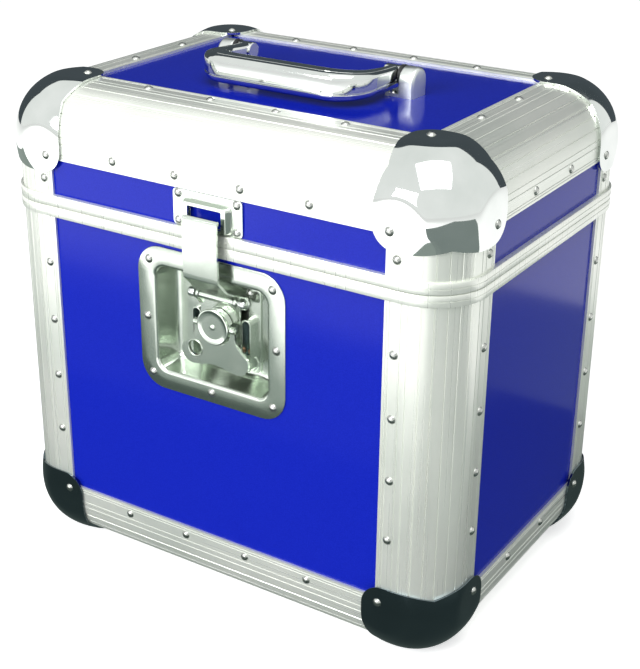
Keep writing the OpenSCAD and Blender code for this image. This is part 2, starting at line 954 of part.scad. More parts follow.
module lid_rivets() {
    color("silver") {
        edge_rivets(true);
        for (sx = [-1, 1], sy = [-1, 1]) to_side(sx, sy) {
            post_row([lid_post_z]) rivet(rivet_len);
            upside(true) top_corner_rivet() rivet(pad_proud + slot);
        }
        hinge_rivet_places(1) rivet(leaf_t + panel_t);
        mount_rivet_places() rivet(panel_t + foot_t);
    }
}

module keeper_rivet_places() {
    for (x = [-1, 1], z = [-1, 1])
        translate([x * (keeper_w / 2 - 4.6), face_y - keeper_t, keeper_z + z * (keeper_h / 2 - 3.2)])
            rotate([90, 0, 0]) children();
}

module keeper_rivets() {
    color("silver") keeper_rivet_places() rivet(keeper_t + panel_t);
}

// Flat plate with a raised staple; the tongue of the draw arm goes in over the staple's bar
module keeper_plate() {
    window_w = arm_w - 1;
    window_h = 13;
    box_w = window_w + 2 * bar_t + 5;
    box_lo = keeper_z - keeper_h / 2 + 0.8;
    box_hi = bar_z + window_h + 2.5;
    color("gainsboro") difference() {
        union() {
            translate([0, face_y, keeper_z]) rotate([90, 0, 0])
                linear_extrude(keeper_t) rounded_rect(keeper_w, keeper_h, 3);
            translate([-box_w / 2, face_y - keeper_rise, box_lo])
                cube([box_w, keeper_rise - keeper_t / 2, box_hi - box_lo]);
        }
        translate([-box_w / 2 + bar_t, face_y - keeper_rise + bar_t, box_lo - 1])
            cube([box_w - 2 * bar_t, keeper_rise - bar_t - keeper_t, box_hi - box_lo + 1 - bar_t]);
        translate([-window_w / 2, face_y - keeper_rise - 1, bar_z]) cube([window_w, 3, window_h]);
        keeper_rivet_places() rivet_hole(rivet_len);
    }
}

// Two rivets through the foot of each handle mount
module mount_rivet_places() {
    for (x = [-1, 1], y = [-1, 1]) translate([x * (boss_out - 3), y * 6.4, panel_top + foot_t]) children();
}

// Arched upright with a foot that runs inwards under the boss
module handle_mounts() {
    color("silver") difference() {
        for (s = [-1, 1]) {
            arch_r = mount_d / 2;
            x0 = s > 0 ? mount_in + 4 : -mount_in - mount_w;
            translate([x0, 0, panel_top + mount_h - arch_r]) rotate([90, 0, 90]) linear_extrude(mount_w - 4) {
                circle(arch_r);
                translate([-arch_r, arch_r - mount_h]) square([mount_d, mount_h - arch_r]);
            }
            translate([s * mount_in, 0, pivot_z]) rotate([0, s * 90, 0]) cylinder(r = boss_r, h = 5);
            foot_x = s > 0 ? boss_in + 5 : -mount_in - mount_w;
            translate([foot_x, -mount_d / 2, panel_top])
                cube([mount_in + mount_w - boss_in - 5, mount_d, foot_t]);
        }
        mount_rivet_places() rivet_hole(foot_t + 1);
        pin_cylinder(handle_pin_r);
    }
}

module pin_cylinder(r) {
    for (s = [-1, 1]) translate([s * (boss_in + 3), 0, pivot_z]) rotate([0, s * 90, 0])
        cylinder(r = r, h = mount_in + mount_w - boss_in - 5);
}

module handle_pins() {
    color("silver") pin_cylinder(handle_pin_r);
}

module handle_washers() {
    color("dimgray") difference() {
        for (s = [-1, 1]) translate([s * (boss_out + side_play), 0, pivot_z]) rotate([0, s * 90, 0])
            cylinder(r = boss_r + 0.9, h = washer_t);
        pin_cylinder(handle_pin_r + run_gap);
    }
}

// Bail folded to the front: grip, two tapering arms and their bosses
module handle_bail() {
    grip_mid = grip_t / 2 - grip_out;
    bend_x = grip_w / 2 - 22;
    arm_x = (boss_in + boss_out) / 2;
    color("silver") difference() {
        union() {
            translate([-bend_x, grip_mid, pivot_z]) rotate([90, 0, 90]) linear_extrude(2 * bend_x)
                rounded_rect(grip_t, grip_t, 6);
            for (s = [-1, 1]) {
                hull() {
                    translate([s * bend_x, grip_mid, pivot_z]) rotate([90, 0, 90])
                        linear_extrude(0.5, center = true) rounded_rect(grip_t, grip_t, 6, $fn = 24);
                    translate([s * (arm_x - 2), grip_mid + 2, pivot_z]) sphere(7, $fn = 24);
                }
                hull() {
                    translate([s * (arm_x - 2), grip_mid + 2, pivot_z]) sphere(7, $fn = 24);
                    translate([s * arm_x, -8, pivot_z]) sphere(4.8, $fn = 24);
                }
                translate([s * arm_x, -9, pivot_z]) rotate([-90, 0, 0]) cylinder(r = 4.6, h = 9);
                translate([s * boss_in, 0, pivot_z]) rotate([0, s * 90, 0])
                    cylinder(r = boss_r, h = boss_len);
            }
        }
        pin_cylinder(handle_pin_r + run_gap);
    }
}

// Rivets of the leaves on one side of the seam: -1 body, 1 lid
module hinge_rivet_places(side) {
    z0 = side < 0 ? seam_z - rim_h - leaf_rivet : lid_z + rim_h + leaf_rivet;
    for (h = [-1, 1], x = [-1, 0, 1])
        translate([h * hinge_x + x * hinge_w / 3, half_d - skin_t + leaf_t, z0])
            rotate([-90, 0, 0]) children();
}

// Leaves of one side: plates on the back, stepped over the rim to the knuckles
module hinge_leaf(side) {
    third = hinge_w / 3;
    play = 0.3;
    rim_back = half_d + rim_proud + 0.1;
    step_z = side < 0 ? seam_z - rim_h - leaf_gap : lid_z + rim_h + leaf_gap;
    end_z = step_z + side * leaf_len;
    axis_z = seam_z;
    near_z = axis_z + side * 1.2;
    barrels = side < 0 ? [-1, 1] : [0];
    gaps = side < 0 ? [0] : [-1, 1];
    for (h = [-1, 1]) translate([h * hinge_x, 0, 0]) difference() {
        union() {
            translate([-hinge_w / 2, 0, 0]) rotate([90, 0, 90]) linear_extrude(hinge_w) {
                leaf_rect(half_d - skin_t, half_d - skin_t + leaf_t, step_z, end_z);
                leaf_rect(half_d - skin_t, rim_back + leaf_t, step_z, step_z + side * leaf_t);
                leaf_rect(rim_back, rim_back + leaf_t, near_z, step_z + side * leaf_t);
            }
            for (b = barrels) translate([b * third - third / 2 + (b < 1 ? 0 : play), hinge_y, axis_z])
                rotate([0, 90, 0]) cylinder(r = knuckle_r, h = third - (b == 0 ? 0 : play));
        }
        for (b = gaps) translate([b * third - third / 2 - play, hinge_y, axis_z]) rotate([0, 90, 0])
            cylinder(r = knuckle_r + play, h = third + 2 * play);
        translate([-hinge_w, hinge_y, axis_z]) rotate([0, 90, 0])
            cylinder(r = hinge_pin_r + run_gap, h = 2 * hinge_w);
    }
}

// Rectangle between two depths and two heights, given in any order
module leaf_rect(y0, y1, z0, z1) {
    translate([y0, min(z0, z1)]) square([y1 - y0, abs(z1 - z0)]);
}

module hinge_lower_leaves() {
    color("gainsboro") difference() {
        hinge_leaf(-1);
        hinge_rivet_places(-1) rivet_hole(leaf_t + 1);
    }
}

module hinge_upper_leaves() {
    color("gainsboro") difference() {
        hinge_leaf(1);
        hinge_rivet_places(1) rivet_hole(leaf_t + 1);
    }
}

module hinge_pins() {
    color("silver") for (h = [-1, 1]) translate([h * hinge_x - hinge_w / 2, hinge_y, seam_z])
        rotate([0, 90, 0]) {
            cylinder(r = hinge_pin_r, h = hinge_w);
            for (z = [-1.2, hinge_w]) translate([0, 0, z]) cylinder(r = hinge_pin_r + 1, h = 1.2);
        }
}

base_panel();
front_panel();
back_panel();
left_panel();
right_panel();
post_front_left();
post_front_right();
post_back_left();
post_back_right();
base_edge_front();
base_edge_back();
base_edge_left();
base_edge_right();
body_rim();
base_corner_front_left();
base_corner_front_right();
base_corner_back_left();
base_corner_back_right();
body_rivets();
base_pad();
latch_dish();
dish_rivets();
latch_frame();
guide_channels();
hinge_lower_leaves();
hinge_pins();
latch_rotor();
hub_cap();
wing_pins();
latch_wing();
drawbar();
drawbar_shaft();
catch_hook();
top_panel();
lid_front_panel();
lid_back_panel();
lid_left_panel();
lid_right_panel();
lid_post_front_left();
lid_post_front_right();
lid_post_back_left();
lid_post_back_right();
top_edge_front();
top_edge_back();
top_edge_left();
top_edge_right();
lid_rim();
top_corner_front_left();
top_corner_front_right();
top_corner_back_left();
top_corner_back_right();
lid_rivets();
lid_pad();
keeper_plate();
keeper_rivets();
handle_mounts();
handle_pins();
handle_washers();
handle_bail();
hinge_upper_leaves();
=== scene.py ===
"""Looks of a record carrying case: blue laminate panels in rounded aluminium extrusions, ball corners,
a hinged lid, a recessed twist latch and a fold-down handle.

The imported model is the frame. Shapes that need a finer surface are worked out here with numpy, in
millimetres, in the same frame as the model, and stand for the nodes of the same name.
"""
import logging
import math
from collections.abc import Callable, Iterable
from dataclasses import dataclass, field
from enum import Enum

import bmesh
import bpy
import numpy as np
from mathutils import Matrix, Vector
from mathutils.geometry import tessellate_polygon


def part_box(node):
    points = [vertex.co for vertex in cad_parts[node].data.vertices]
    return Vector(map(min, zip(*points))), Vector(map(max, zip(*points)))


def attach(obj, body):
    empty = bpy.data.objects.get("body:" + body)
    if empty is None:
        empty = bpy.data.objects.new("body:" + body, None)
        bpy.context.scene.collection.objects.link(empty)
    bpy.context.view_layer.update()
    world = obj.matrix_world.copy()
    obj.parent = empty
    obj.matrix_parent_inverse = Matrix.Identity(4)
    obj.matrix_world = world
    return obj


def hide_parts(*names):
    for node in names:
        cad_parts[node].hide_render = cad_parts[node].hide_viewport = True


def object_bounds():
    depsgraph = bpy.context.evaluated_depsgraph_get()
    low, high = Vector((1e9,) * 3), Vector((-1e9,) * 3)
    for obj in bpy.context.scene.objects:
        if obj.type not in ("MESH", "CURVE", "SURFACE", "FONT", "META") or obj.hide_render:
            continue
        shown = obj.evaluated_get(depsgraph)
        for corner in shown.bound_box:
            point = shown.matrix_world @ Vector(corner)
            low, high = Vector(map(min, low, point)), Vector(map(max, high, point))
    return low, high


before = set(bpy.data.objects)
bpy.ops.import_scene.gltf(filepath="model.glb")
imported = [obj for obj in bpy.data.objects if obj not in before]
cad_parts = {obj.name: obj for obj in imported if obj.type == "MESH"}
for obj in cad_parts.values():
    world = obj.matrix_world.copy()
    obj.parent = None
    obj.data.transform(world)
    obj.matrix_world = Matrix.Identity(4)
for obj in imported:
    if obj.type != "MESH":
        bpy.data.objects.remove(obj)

CAD_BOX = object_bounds()
MM = 0.001
log = logging.getLogger("record_case")


class Body(str, Enum):
    """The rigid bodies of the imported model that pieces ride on."""

    CASE = "case_body"
    LID = "lid"
    HANDLE = "handle"
    ROTOR = "rotor"
    WING = "wing"
    SLIDER = "slider"
    HOOK = "hook"


class Run(Enum):
    """Direction in which an extrusion was drawn, as the index of its axis."""

    ACROSS = 0
    ALONG = 1
    UP = 2


def node_box(node: str) -> tuple[np.ndarray, np.ndarray]:
    """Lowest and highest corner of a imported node.

    Args:
        node: The node's name.
    Returns:
        The two corners in millimetres.
    """
    low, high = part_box(node)
    return np.array(low) / MM, np.array(high) / MM


def linear(hex_colour: str) -> tuple[float, float, float, float]:
    """Turns an sRGB colour into the linear colour that a shader takes.

    Args:
        hex_colour: Six hex digits, with or without a leading hash.
    Returns:
        Red, green, blue and an alpha of 1.
    """
    digits = hex_colour.lstrip("#")
    srgb = np.array([int(digits[i:i + 2], 16) for i in (0, 2, 4)]) / 255.0
    lin = np.where(srgb <= 0.04045, srgb / 12.92, ((srgb + 0.055) / 1.055) ** 2.4)
    return (*lin.tolist(), 1.0)


def grid_faces(rows: int, cols: int, wrap_rows: bool = False, wrap_cols: bool = False,
               start: int = 0) -> np.ndarray:
    """Quads that join a grid of points stored row by row.

    Args:
        rows: Number of rows.
        cols: Number of points in a row.
        wrap_rows: Joins the last row to the first.
        wrap_cols: Joins the last column to the first.
        start: Index of the grid's first point.
    Returns:
        An array of four indices a face, turning the same way all over the grid.
    """
    i = np.arange(rows if wrap_rows else rows - 1)[:, None]
    j = np.arange(cols if wrap_cols else cols - 1)[None, :]
    i2, j2 = (i + 1) % rows, (j + 1) % cols
    quads = np.stack([i * cols + j, i * cols + j2, i2 * cols + j2, i2 * cols + j], axis=-1)
    return quads.reshape(-1, 4) + start


@dataclass
class Shell:
    """Points and faces of a closed surface, in millimetres, before it becomes an object."""

    points: np.ndarray
    faces: list[list[int]]

    def placed(self, turn: np.ndarray, origin: Iterable[float] = (0.0, 0.0, 0.0)) -> "Shell":
        """Moves the shell: each point is turned by a 3 by 3 matrix and then shifted.

        Args:
            turn: The matrix, which may mirror.
            origin: The shift in millimetres.
        Returns:
            A new shell.
        """
        return Shell(self.points @ np.asarray(turn, float).T + np.asarray(tuple(origin), float), self.faces)


def joined(shells: Iterable[Shell]) -> Shell:
    """Puts several shells into one, each still closed on its own.

    Args:
        shells: The shells.
    Returns:
        One shell with all their points and faces.
    """
    points, faces, count = [], [], 0
    for shell in shells:
        points.append(shell.points)
        faces += [[index + count for index in face] for face in shell.faces]
        count += len(shell.points)
    return Shell(np.concatenate(points), faces)


def welded(shell: Shell, step: float = 0.002) -> Shell:
    """Makes points that lie within a small step of each other one point.

    Args:
        shell: The shell.
        step: The step in millimetres.
    Returns:
        The shell without doubles.
    """
    _, first, same = np.unique(np.round(shell.points / step), axis=0, return_index=True, return_inverse=True)
    same = same.ravel()
    return Shell(shell.points[first], [[int(same[index]) for index in face] for face in shell.faces])


def tube(loops: np.ndarray, closed_path: bool = False) -> Shell:
    """Closed surface through a row of loops: a profile carried along a path.

    The point at row i and column j is joined to its neighbours in the row, which closes on itself, and in
    the column. The first and the last row get a flat cap, or are joined where the path closes.

    Args:
        loops: Array of shape (rows, points, 3).
        closed_path: Joins the last loop to the first instead of capping.
    Returns:
        The shell.
    """
    rows, cols, _ = loops.shape
    faces = grid_faces(rows, cols, wrap_rows=closed_path, wrap_cols=True).tolist()
    if not closed_path:
        faces.append(list(range(cols))[::-1])
        faces.append(list(range((rows - 1) * cols, rows * cols)))
    return Shell(loops.reshape(-1, 3), faces)


def extruded(outline: np.ndarray, low: float, high: float) -> Shell:
    """Carries a flat outline straight up from one height to another.

    Args:
        outline: Array of shape (n, 2).
        low: The lower height.
        high: The upper height.
    Returns:
        The prism.
    """
    levels = [np.column_stack([outline, np.full(len(outline), z)]) for z in (low, high)]
    return tube(np.stack(levels))


def lathed(profile: np.ndarray, steps: int = 40) -> Shell:
    """Turns a profile about Z: a point at radius r and height h goes to (r cos t, r sin t, h).

    Args:
        profile: Array of radius and height, from one end of the axis to the other; both ends lie on it.
        steps: Number of points round.
    Returns:
        The turned shell, with one point at each pole.
    """
    turn = np.linspace(0.0, 2.0 * math.pi, steps, endpoint=False)
    ring = np.asarray(profile, float)[1:-1]
    points = np.stack([ring[:, :1] * np.cos(turn), ring[:, :1] * np.sin(turn),
                       np.repeat(ring[:, 1:], steps, axis=1)], axis=-1).reshape(-1, 3)
    ends = np.array([[0.0, 0.0, profile[0][1]], [0.0, 0.0, profile[-1][1]]])
    faces = grid_faces(len(ring), steps, wrap_cols=True).tolist()
    first, last = len(points), len(points) + 1
    base = (len(ring) - 1) * steps
    around = [(j, (j + 1) % steps) for j in range(steps)]
    faces += [[first, b, a] for a, b in around]
    faces += [[last, base + a, base + b] for a, b in around]
    return Shell(np.concatenate([points, ends]), faces)


def arc(centre: tuple[float, float], radius: float, start: float, end: float, count: int) -> np.ndarray:
    """Points of a circle's arc, at equal angles.

    Args:
        centre: The circle's centre.
        radius: Its radius.
        start: First angle in degrees.
        end: Last angle in degrees.
        count: Number of points.
    Returns:
        Array of shape (count, 2).
    """
    t = np.radians(np.linspace(start, end, count))
    return np.column_stack([centre[0] + radius * np.cos(t), centre[1] + radius * np.sin(t)])


def rounded_outline(width: float, height: float, radius: float, count: int = 9) -> np.ndarray:
    """Outline of a rectangle about the origin whose corners are quarter circles, turning left.

    Args:
        width: Size along the first axis.
        height: Size along the second axis.
        radius: Corner radius.
        count: Points in each corner.
    Returns:
        Array of shape (4 * count, 2).
    """
    x, y = width / 2 - radius, height / 2 - radius
    return np.concatenate([arc((x, y), radius, 0, 90, count), arc((-x, y), radius, 90, 180, count),
                           arc((-x, -y), radius, 180, 270, count), arc((x, -y), radius, 270, 360, count)])


def add_object(name: str, data: bpy.types.ID) -> bpy.types.Object:
    """Makes an object of a mesh, a lamp or a camera and puts it into the scene."""
    thing = bpy.data.objects.new(name, data)
    bpy.context.scene.collection.objects.link(thing)
    return thing


def make_piece(name: str, shell: Shell, finish: bpy.types.Material, body: Body,
               stands_for: Iterable[str] = (), smooth: float = 32.0) -> bpy.types.Object:
    """Makes a mesh object from a shell, dresses it and lets it ride on a body.

    Args:
        name: The piece's name.
        shell: Its closed surface in millimetres.
        finish: Its material.
        body: The body that it moves with.
        stands_for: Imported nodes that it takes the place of.
        smooth: Edges that bend by more than this many degrees stay sharp.
    Returns:
        The object, at the origin and unturned.
    """
    mesh = bpy.data.meshes.new(name)
    mesh.from_pydata((shell.points * MM).tolist(), [], shell.faces)
    mesh.validate()
    solid = bmesh.new()
    solid.from_mesh(mesh)
    bmesh.ops.recalc_face_normals(solid, faces=solid.faces)
    solid.to_mesh(mesh)
    solid.free()
    mesh.shade_smooth()
    mesh.set_sharp_from_angle(angle=math.radians(smooth))
    mesh.materials.append(finish)
    piece = add_object(name, mesh)
    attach(piece, body.value)
    if stands_for:
        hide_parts(*stands_for)
    log.info("%s: %d faces on %s", name, len(mesh.polygons), body.value)
    return piece


def soften(piece: bpy.types.Object, width: float, segments: int = 2, angle: float = 40.0) -> None:
    """Rounds a piece's sharp edges with a Bevel modifier.

    Args:
        piece: The object.
        width: Width of the bevel in millimetres.
        segments: Faces across the bevel.
        angle: Only edges that bend by more than this many degrees are rounded.
    """
    bevel = piece.modifiers.new("edge_rounding", "BEVEL")
    bevel.width = width * MM
    bevel.segments = segments
    bevel.limit_method = "ANGLE"
    bevel.angle_limit = math.radians(angle)
    bevel.harden_normals = True


def dress(node: str, finish: bpy.types.Material) -> None:
    """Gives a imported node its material; its mesh stays as it is.

    Args:
        node: The node's name.
        finish: The material.
    """
    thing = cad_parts[node]
    if not thing.material_slots:
        thing.data.materials.append(finish)
    for holder in thing.material_slots:
        holder.material = finish
    log.info("%s keeps its solid, in %s", node, finish.name)


def add_node(tree: bpy.types.NodeTree, kind: str, inputs: dict | None = None,
             **settings: object) -> bpy.types.Node:
    """Adds a node with its settings, socket values and links.

    Args:
        tree: The node tree.
        kind: The node's type name.
        inputs: Socket name or number to a value, or to an output socket that is linked to it.
        settings: Attributes of the node itself.
    Returns:
        The node.
    """
    node = tree.nodes.new(kind)
    for key, value in settings.items():
        setattr(node, key, value)
    for key, value in (inputs or {}).items():
        if isinstance(value, bpy.types.NodeSocket):
            tree.links.new(value, node.inputs[key])
        else:
            node.inputs[key].default_value = value
    return node


def new_material(name: str) -> tuple[bpy.types.Material, bpy.types.NodeTree]:
    """An empty node material.

    Args:
        name: Its name.
    Returns:
        The material and its node tree.
    """
    material = bpy.data.materials.new(name)
    material.use_nodes = True
    material.node_tree.nodes.clear()
    return material, material.node_tree


def finish_surface(tree: bpy.types.NodeTree, inputs: dict) -> None:
    """Ends a tree in one Principled shader.

    Args:
        tree: The node tree.
        inputs: What the shader's sockets take.
    """
    shader = add_node(tree, "ShaderNodeBsdfPrincipled", inputs)
    add_node(tree, "ShaderNodeOutputMaterial", {"Surface": shader.outputs["BSDF"]})


def object_pattern(tree: bpy.types.NodeTree, scale: tuple[float, float, float],
                   detail: float = 3.0) -> bpy.types.NodeSocket:
    """Noise on Object coordinates, with its own number of cycles a metre along each axis.

    Args:
        tree: The node tree.
        scale: Cycles a metre along X, Y and Z.
        detail: Octaves of the noise.
    Returns:
        The noise's Fac socket, about 0 to 1.
    """
    place = add_node(tree, "ShaderNodeTexCoord")
    stretch = add_node(tree, "ShaderNodeMapping", {"Vector": place.outputs["Object"], "Scale": scale})
    noise = add_node(tree, "ShaderNodeTexNoise",
                     {"Vector": stretch.outputs["Vector"], "Scale": 1.0, "Detail": detail})
    return noise.outputs["Fac"]


def spread(tree: bpy.types.NodeTree, value: bpy.types.NodeSocket, low: float, high: float,
           span: tuple[float, float] = (0.3, 0.7)) -> bpy.types.NodeSocket:
    """Maps a pattern's middle span onto a range of values, without overshoot.

    Args:
        tree: The node tree.
        value: The pattern.
        low: The result at the span's lower end.
        high: The result at its upper end.
        span: The part of the pattern that is spread.
    Returns:
        The mapped value.
    """
    mapped = add_node(tree, "ShaderNodeMapRange", {"Value": value, "From Min": span[0], "From Max": span[1],
                                                   "To Min": low, "To Max": high})
    return mapped.outputs["Result"]


def blend_colours(tree: bpy.types.NodeTree, pattern: bpy.types.NodeSocket, first: str,
                  second: str) -> bpy.types.NodeSocket:
    """Mixes two sRGB hex colours by a pattern, whose middle span runs from the first to the second.

    Args:
        tree: The node tree.
        pattern: The pattern.
        first: Hex colour.
        second: Hex colour.
    Returns:
        The mixed colour.
    """
    mix = add_node(tree, "ShaderNodeMix", {0: spread(tree, pattern, 0.0, 1.0), 6: linear(first),
                                           7: linear(second)}, data_type="RGBA")
    return mix.outputs[2]


def every(size_mm: float) -> tuple[float, float, float]:
    """Cycles a metre, alike along all axes, of a pattern whose marks are this many millimetres wide."""
    return (1.0 / (size_mm * MM),) * 3


def bumped(tree: bpy.types.NodeTree, height: bpy.types.NodeSocket, distance: float,
           strength: float = 1.0) -> bpy.types.NodeSocket:
    """Turns a height pattern into a normal.

    Args:
        tree: The node tree.
        height: The pattern.
        distance: Height of the pattern in millimetres.
        strength: How much of the bump is used.
    Returns:
        The normal.
    """
    bump = add_node(tree, "ShaderNodeBump",
                    {"Height": height, "Distance": distance * MM, "Strength": strength})
    return bump.outputs["Normal"]


@dataclass(frozen=True)
class DrawnAluminium:
    """Anodised 6063 aluminium, drawn through a die and left satin.

    The die leaves faint lines along the length, and the anodising gives a pale, slightly green-grey
    sheen that is nearly white where it faces the light.
    """

    pale: str = "#f4f6ee"
    dull: str = "#e3e8df"
    line_mm: float = 1.6
    line_length: float = 250.0
    line_height: float = 0.012
    metallic: float = 0.6
    roughness: tuple[float, float] = (0.26, 0.38)

    def material(self, run: Run) -> bpy.types.Material:
        """Makes the finish for one direction of the die lines.

        Args:
            run: Direction of the extrusion.
        Returns:
            The material.
        """
        material, tree = new_material(f"drawn_aluminium_{run.name.lower()}")
        across = 1.0 / (self.line_mm * MM)
        scale = [across] * 3
        scale[run.value] = across / self.line_length
        lines = object_pattern(tree, tuple(scale), 2.0)
        clouds = object_pattern(tree, (14.0, 14.0, 14.0), 2.0)
        finish_surface(tree, {
            "Base Color": blend_colours(tree, clouds, self.dull, self.pale),
            "Metallic": self.metallic,
            "Roughness": spread(tree, lines, *self.roughness),
            "Normal": bumped(tree, lines, self.line_height),
        })
        return material


@dataclass(frozen=True)
class GlossLaminate:
    """High-pressure laminate on plywood, pressed to a gloss and coloured all through.

    A deep ultramarine with an almost even surface: a faint orange peel from pressing and very fine
    specks, which soften the edges of what it mirrors.
    """

    deep: str = "#0a1b9d"
    light: str = "#1223aa"
    peel_mm: float = 3.5
    peel_height: float = 0.006
    speck_mm: float = 0.9
    roughness: tuple[float, float] = (0.1, 0.17)
    specular: float = 0.16

    def material(self) -> bpy.types.Material:
        """Makes the finish."""
        material, tree = new_material("gloss_laminate_ultramarine")
        peel = object_pattern(tree, every(self.peel_mm), 1.0)
        specks = object_pattern(tree, every(self.speck_mm), 2.0)
        finish_surface(tree, {
            "Base Color": blend_colours(tree, specks, self.deep, self.light),
            "Roughness": spread(tree, specks, *self.roughness),
            "Specular IOR Level": self.specular,
            "Normal": bumped(tree, peel, self.peel_height),
        })
        return material


@dataclass(frozen=True)
class PlatedMetal:
    """A plated pressing: the plating's colour, how smooth it is, and how far the sheet waves.

    Attributes:
        name: What it is and how it was made.
        clean: Colour of a clean place.
        dull: Colour of a dull or fingered place.
        roughness: Lowest and highest roughness.
        patch_mm: Size of the dull places.
        wave_mm: Distance between the sheet's waves, from pressing.
        wave_height: Height of the waves in millimetres.
    """

    name: str
    clean: str
    dull: str
    roughness: tuple[float, float]
    patch_mm: float = 30.0
    wave_mm: float = 18.0
    wave_height: float = 0.02

    def material(self) -> bpy.types.Material:
        """Makes the finish."""
        material, tree = new_material(self.name)
        patches = object_pattern(tree, every(self.patch_mm), 4.0)
        waves = object_pattern(tree, every(self.wave_mm), 1.0)
        finish_surface(tree, {
            "Base Color": blend_colours(tree, patches, self.clean, self.dull),
            "Metallic": 1.0,
            "Roughness": spread(tree, patches, *self.roughness),
            "Normal": bumped(tree, waves, self.wave_height),
        })
        return material


MIRROR_CHROME = PlatedMetal("mirror_chrome_pressing", "#e4e7e4", "#d5dad6", (0.03, 0.07),
                            wave_mm=40.0, wave_height=0.03)
# The body's corners are the same chrome pressing as the lid's, with colours painted darker: painted shade
# standing for the dim floor and table that they mirror.
PAINTED_SHADE_CHROME = PlatedMetal("chrome_pressing_painted_darker", "#748188", "#67747b", (0.1, 0.17),
                          wave_mm=40.0, wave_height=0.04)
BRIGHT_ZINC = PlatedMetal("bright_zinc_plate", "#dbe2d9", "#c6cfc4", (0.14, 0.26),
                          wave_mm=26.0, wave_height=0.12)
CAST_CHROME = PlatedMetal("chrome_on_zinc_casting", "#e2e5e2", "#d6dad7", (0.04, 0.09),
                          wave_mm=22.0, wave_height=0.03)
SATIN_CHROME = PlatedMetal("satin_chrome_on_zinc", "#dfe3e0", "#cfd4d1", (0.3, 0.42), patch_mm=14.0,
                           wave_mm=22.0, wave_height=0.03)
RIVET_NICKEL = PlatedMetal("nickel_plated_rivet", "#c9cbc6", "#a9aca7", (0.18, 0.32), patch_mm=5.0)
COPPER_RIVET = PlatedMetal("copper_washed_rivet", "#d9a58c", "#b98a72", (0.2, 0.32), patch_mm=4.0)
HINGE_NICKEL = PlatedMetal("nickel_plated_hinge", "#cfd2cd", "#b8bcb6", (0.2, 0.3), patch_mm=16.0)


@dataclass(frozen=True)
class CellFoam:
    """Closed-cell polyethylene foam, cut from a block: charcoal, matt, with open cut cells."""

    shade: str = "#26282a"
    tint: str = "#34373a"
    cell_mm: float = 1.6
    cell_depth: float = 0.25
    roughness: float = 0.92
    specular: float = 0.25

    def material(self) -> bpy.types.Material:
        """Makes the finish."""
        material, tree = new_material("closed_cell_foam_cut")
        cells = add_node(tree, "ShaderNodeTexVoronoi", {
            "Vector": add_node(tree, "ShaderNodeTexCoord").outputs["Object"],
            "Scale": 1.0 / (self.cell_mm * MM)})
        walls = cells.outputs["Distance"]
        finish_surface(tree, {
            "Base Color": blend_colours(tree, walls, self.shade, self.tint),
            "Roughness": self.roughness,
            "Specular IOR Level": self.specular,
            "Normal": bumped(tree, walls, self.cell_depth),
        })
        return material


@dataclass(frozen=True)
class BirchPlywood:
    """Birch plywood, rotary-cut and sanded: pale straw with long, faint grain along X."""

    early: str = "#cdb086"
    late: str = "#b28f61"
    grain_mm: float = 2.4
    grain_length: float = 30.0
    grain_depth: float = 0.05
    roughness: tuple[float, float] = (0.5, 0.62)

    def material(self) -> bpy.types.Material:
        """Makes the finish."""
        material, tree = new_material("birch_plywood_sanded")
        across = 1.0 / (self.grain_mm * MM)
        grain = object_pattern(tree, (across / self.grain_length, across, across), 4.0)
        finish_surface(tree, {
            "Base Color": blend_colours(tree, grain, self.early, self.late),
            "Roughness": spread(tree, grain, *self.roughness),
            "Normal": bumped(tree, grain, self.grain_depth),
        })
        return material


@dataclass(frozen=True)
class BlackNylon:
    """Moulded nylon washer: black, with a low sheen and a fine moulded grain."""

    shade: str = "#141516"
    tint: str = "#1f2123"
    grain_mm: float = 0.8
    grain_depth: float = 0.02
    roughness: tuple[float, float] = (0.36, 0.5)

    def material(self) -> bpy.types.Material:
        """Makes the finish."""
        material, tree = new_material("black_nylon_moulded")
        grain = object_pattern(tree, every(self.grain_mm), 2.0)
        finish_surface(tree, {
            "Base Color": blend_colours(tree, grain, self.shade, self.tint),
            "Roughness": spread(tree, grain, *self.roughness),
            "Normal": bumped(tree, grain, self.grain_depth),
        })
        return material


@dataclass
class Palette:
    """The finishes of the case, each made once."""

    aluminium: dict[Run, bpy.types.Material] = field(
        default_factory=lambda: {run: DrawnAluminium().material(run) for run in Run})
    laminate: bpy.types.Material = field(default_factory=lambda: GlossLaminate().material())
    chrome: bpy.types.Material = field(default_factory=MIRROR_CHROME.material)
    # Chrome painted darker: painted shade, used on the body's corners and on the floors of the guides.
    painted_shade_chrome: bpy.types.Material = field(default_factory=PAINTED_SHADE_CHROME.material)
    zinc: bpy.types.Material = field(default_factory=BRIGHT_ZINC.material)
    casting: bpy.types.Material = field(default_factory=CAST_CHROME.material)
    satin: bpy.types.Material = field(default_factory=SATIN_CHROME.material)
    rivet: bpy.types.Material = field(default_factory=RIVET_NICKEL.material)
    copper: bpy.types.Material = field(default_factory=COPPER_RIVET.material)
    hinge: bpy.types.Material = field(default_factory=HINGE_NICKEL.material)
    foam: bpy.types.Material = field(default_factory=lambda: CellFoam().material())
    plywood: bpy.types.Material = field(default_factory=lambda: BirchPlywood().material())
    nylon: bpy.types.Material = field(default_factory=lambda: BlackNylon().material())


CORNERS = {"front_left": (-1, -1), "front_right": (1, -1), "back_left": (-1, 1), "back_right": (1, 1)}


def side_turn(x_side: int, y_side: int, z_side: int = -1) -> np.ndarray:
    """Matrix that takes a thing made at the left front of the underside to another corner.

    Args:
        x_side: -1 left or 1 right.
        y_side: -1 front or 1 back.
        z_side: -1 underside or 1 top.
    Returns:
        A diagonal 3 by 3 matrix.
    """
    return np.diag([-float(x_side), -float(y_side), -float(z_side)])


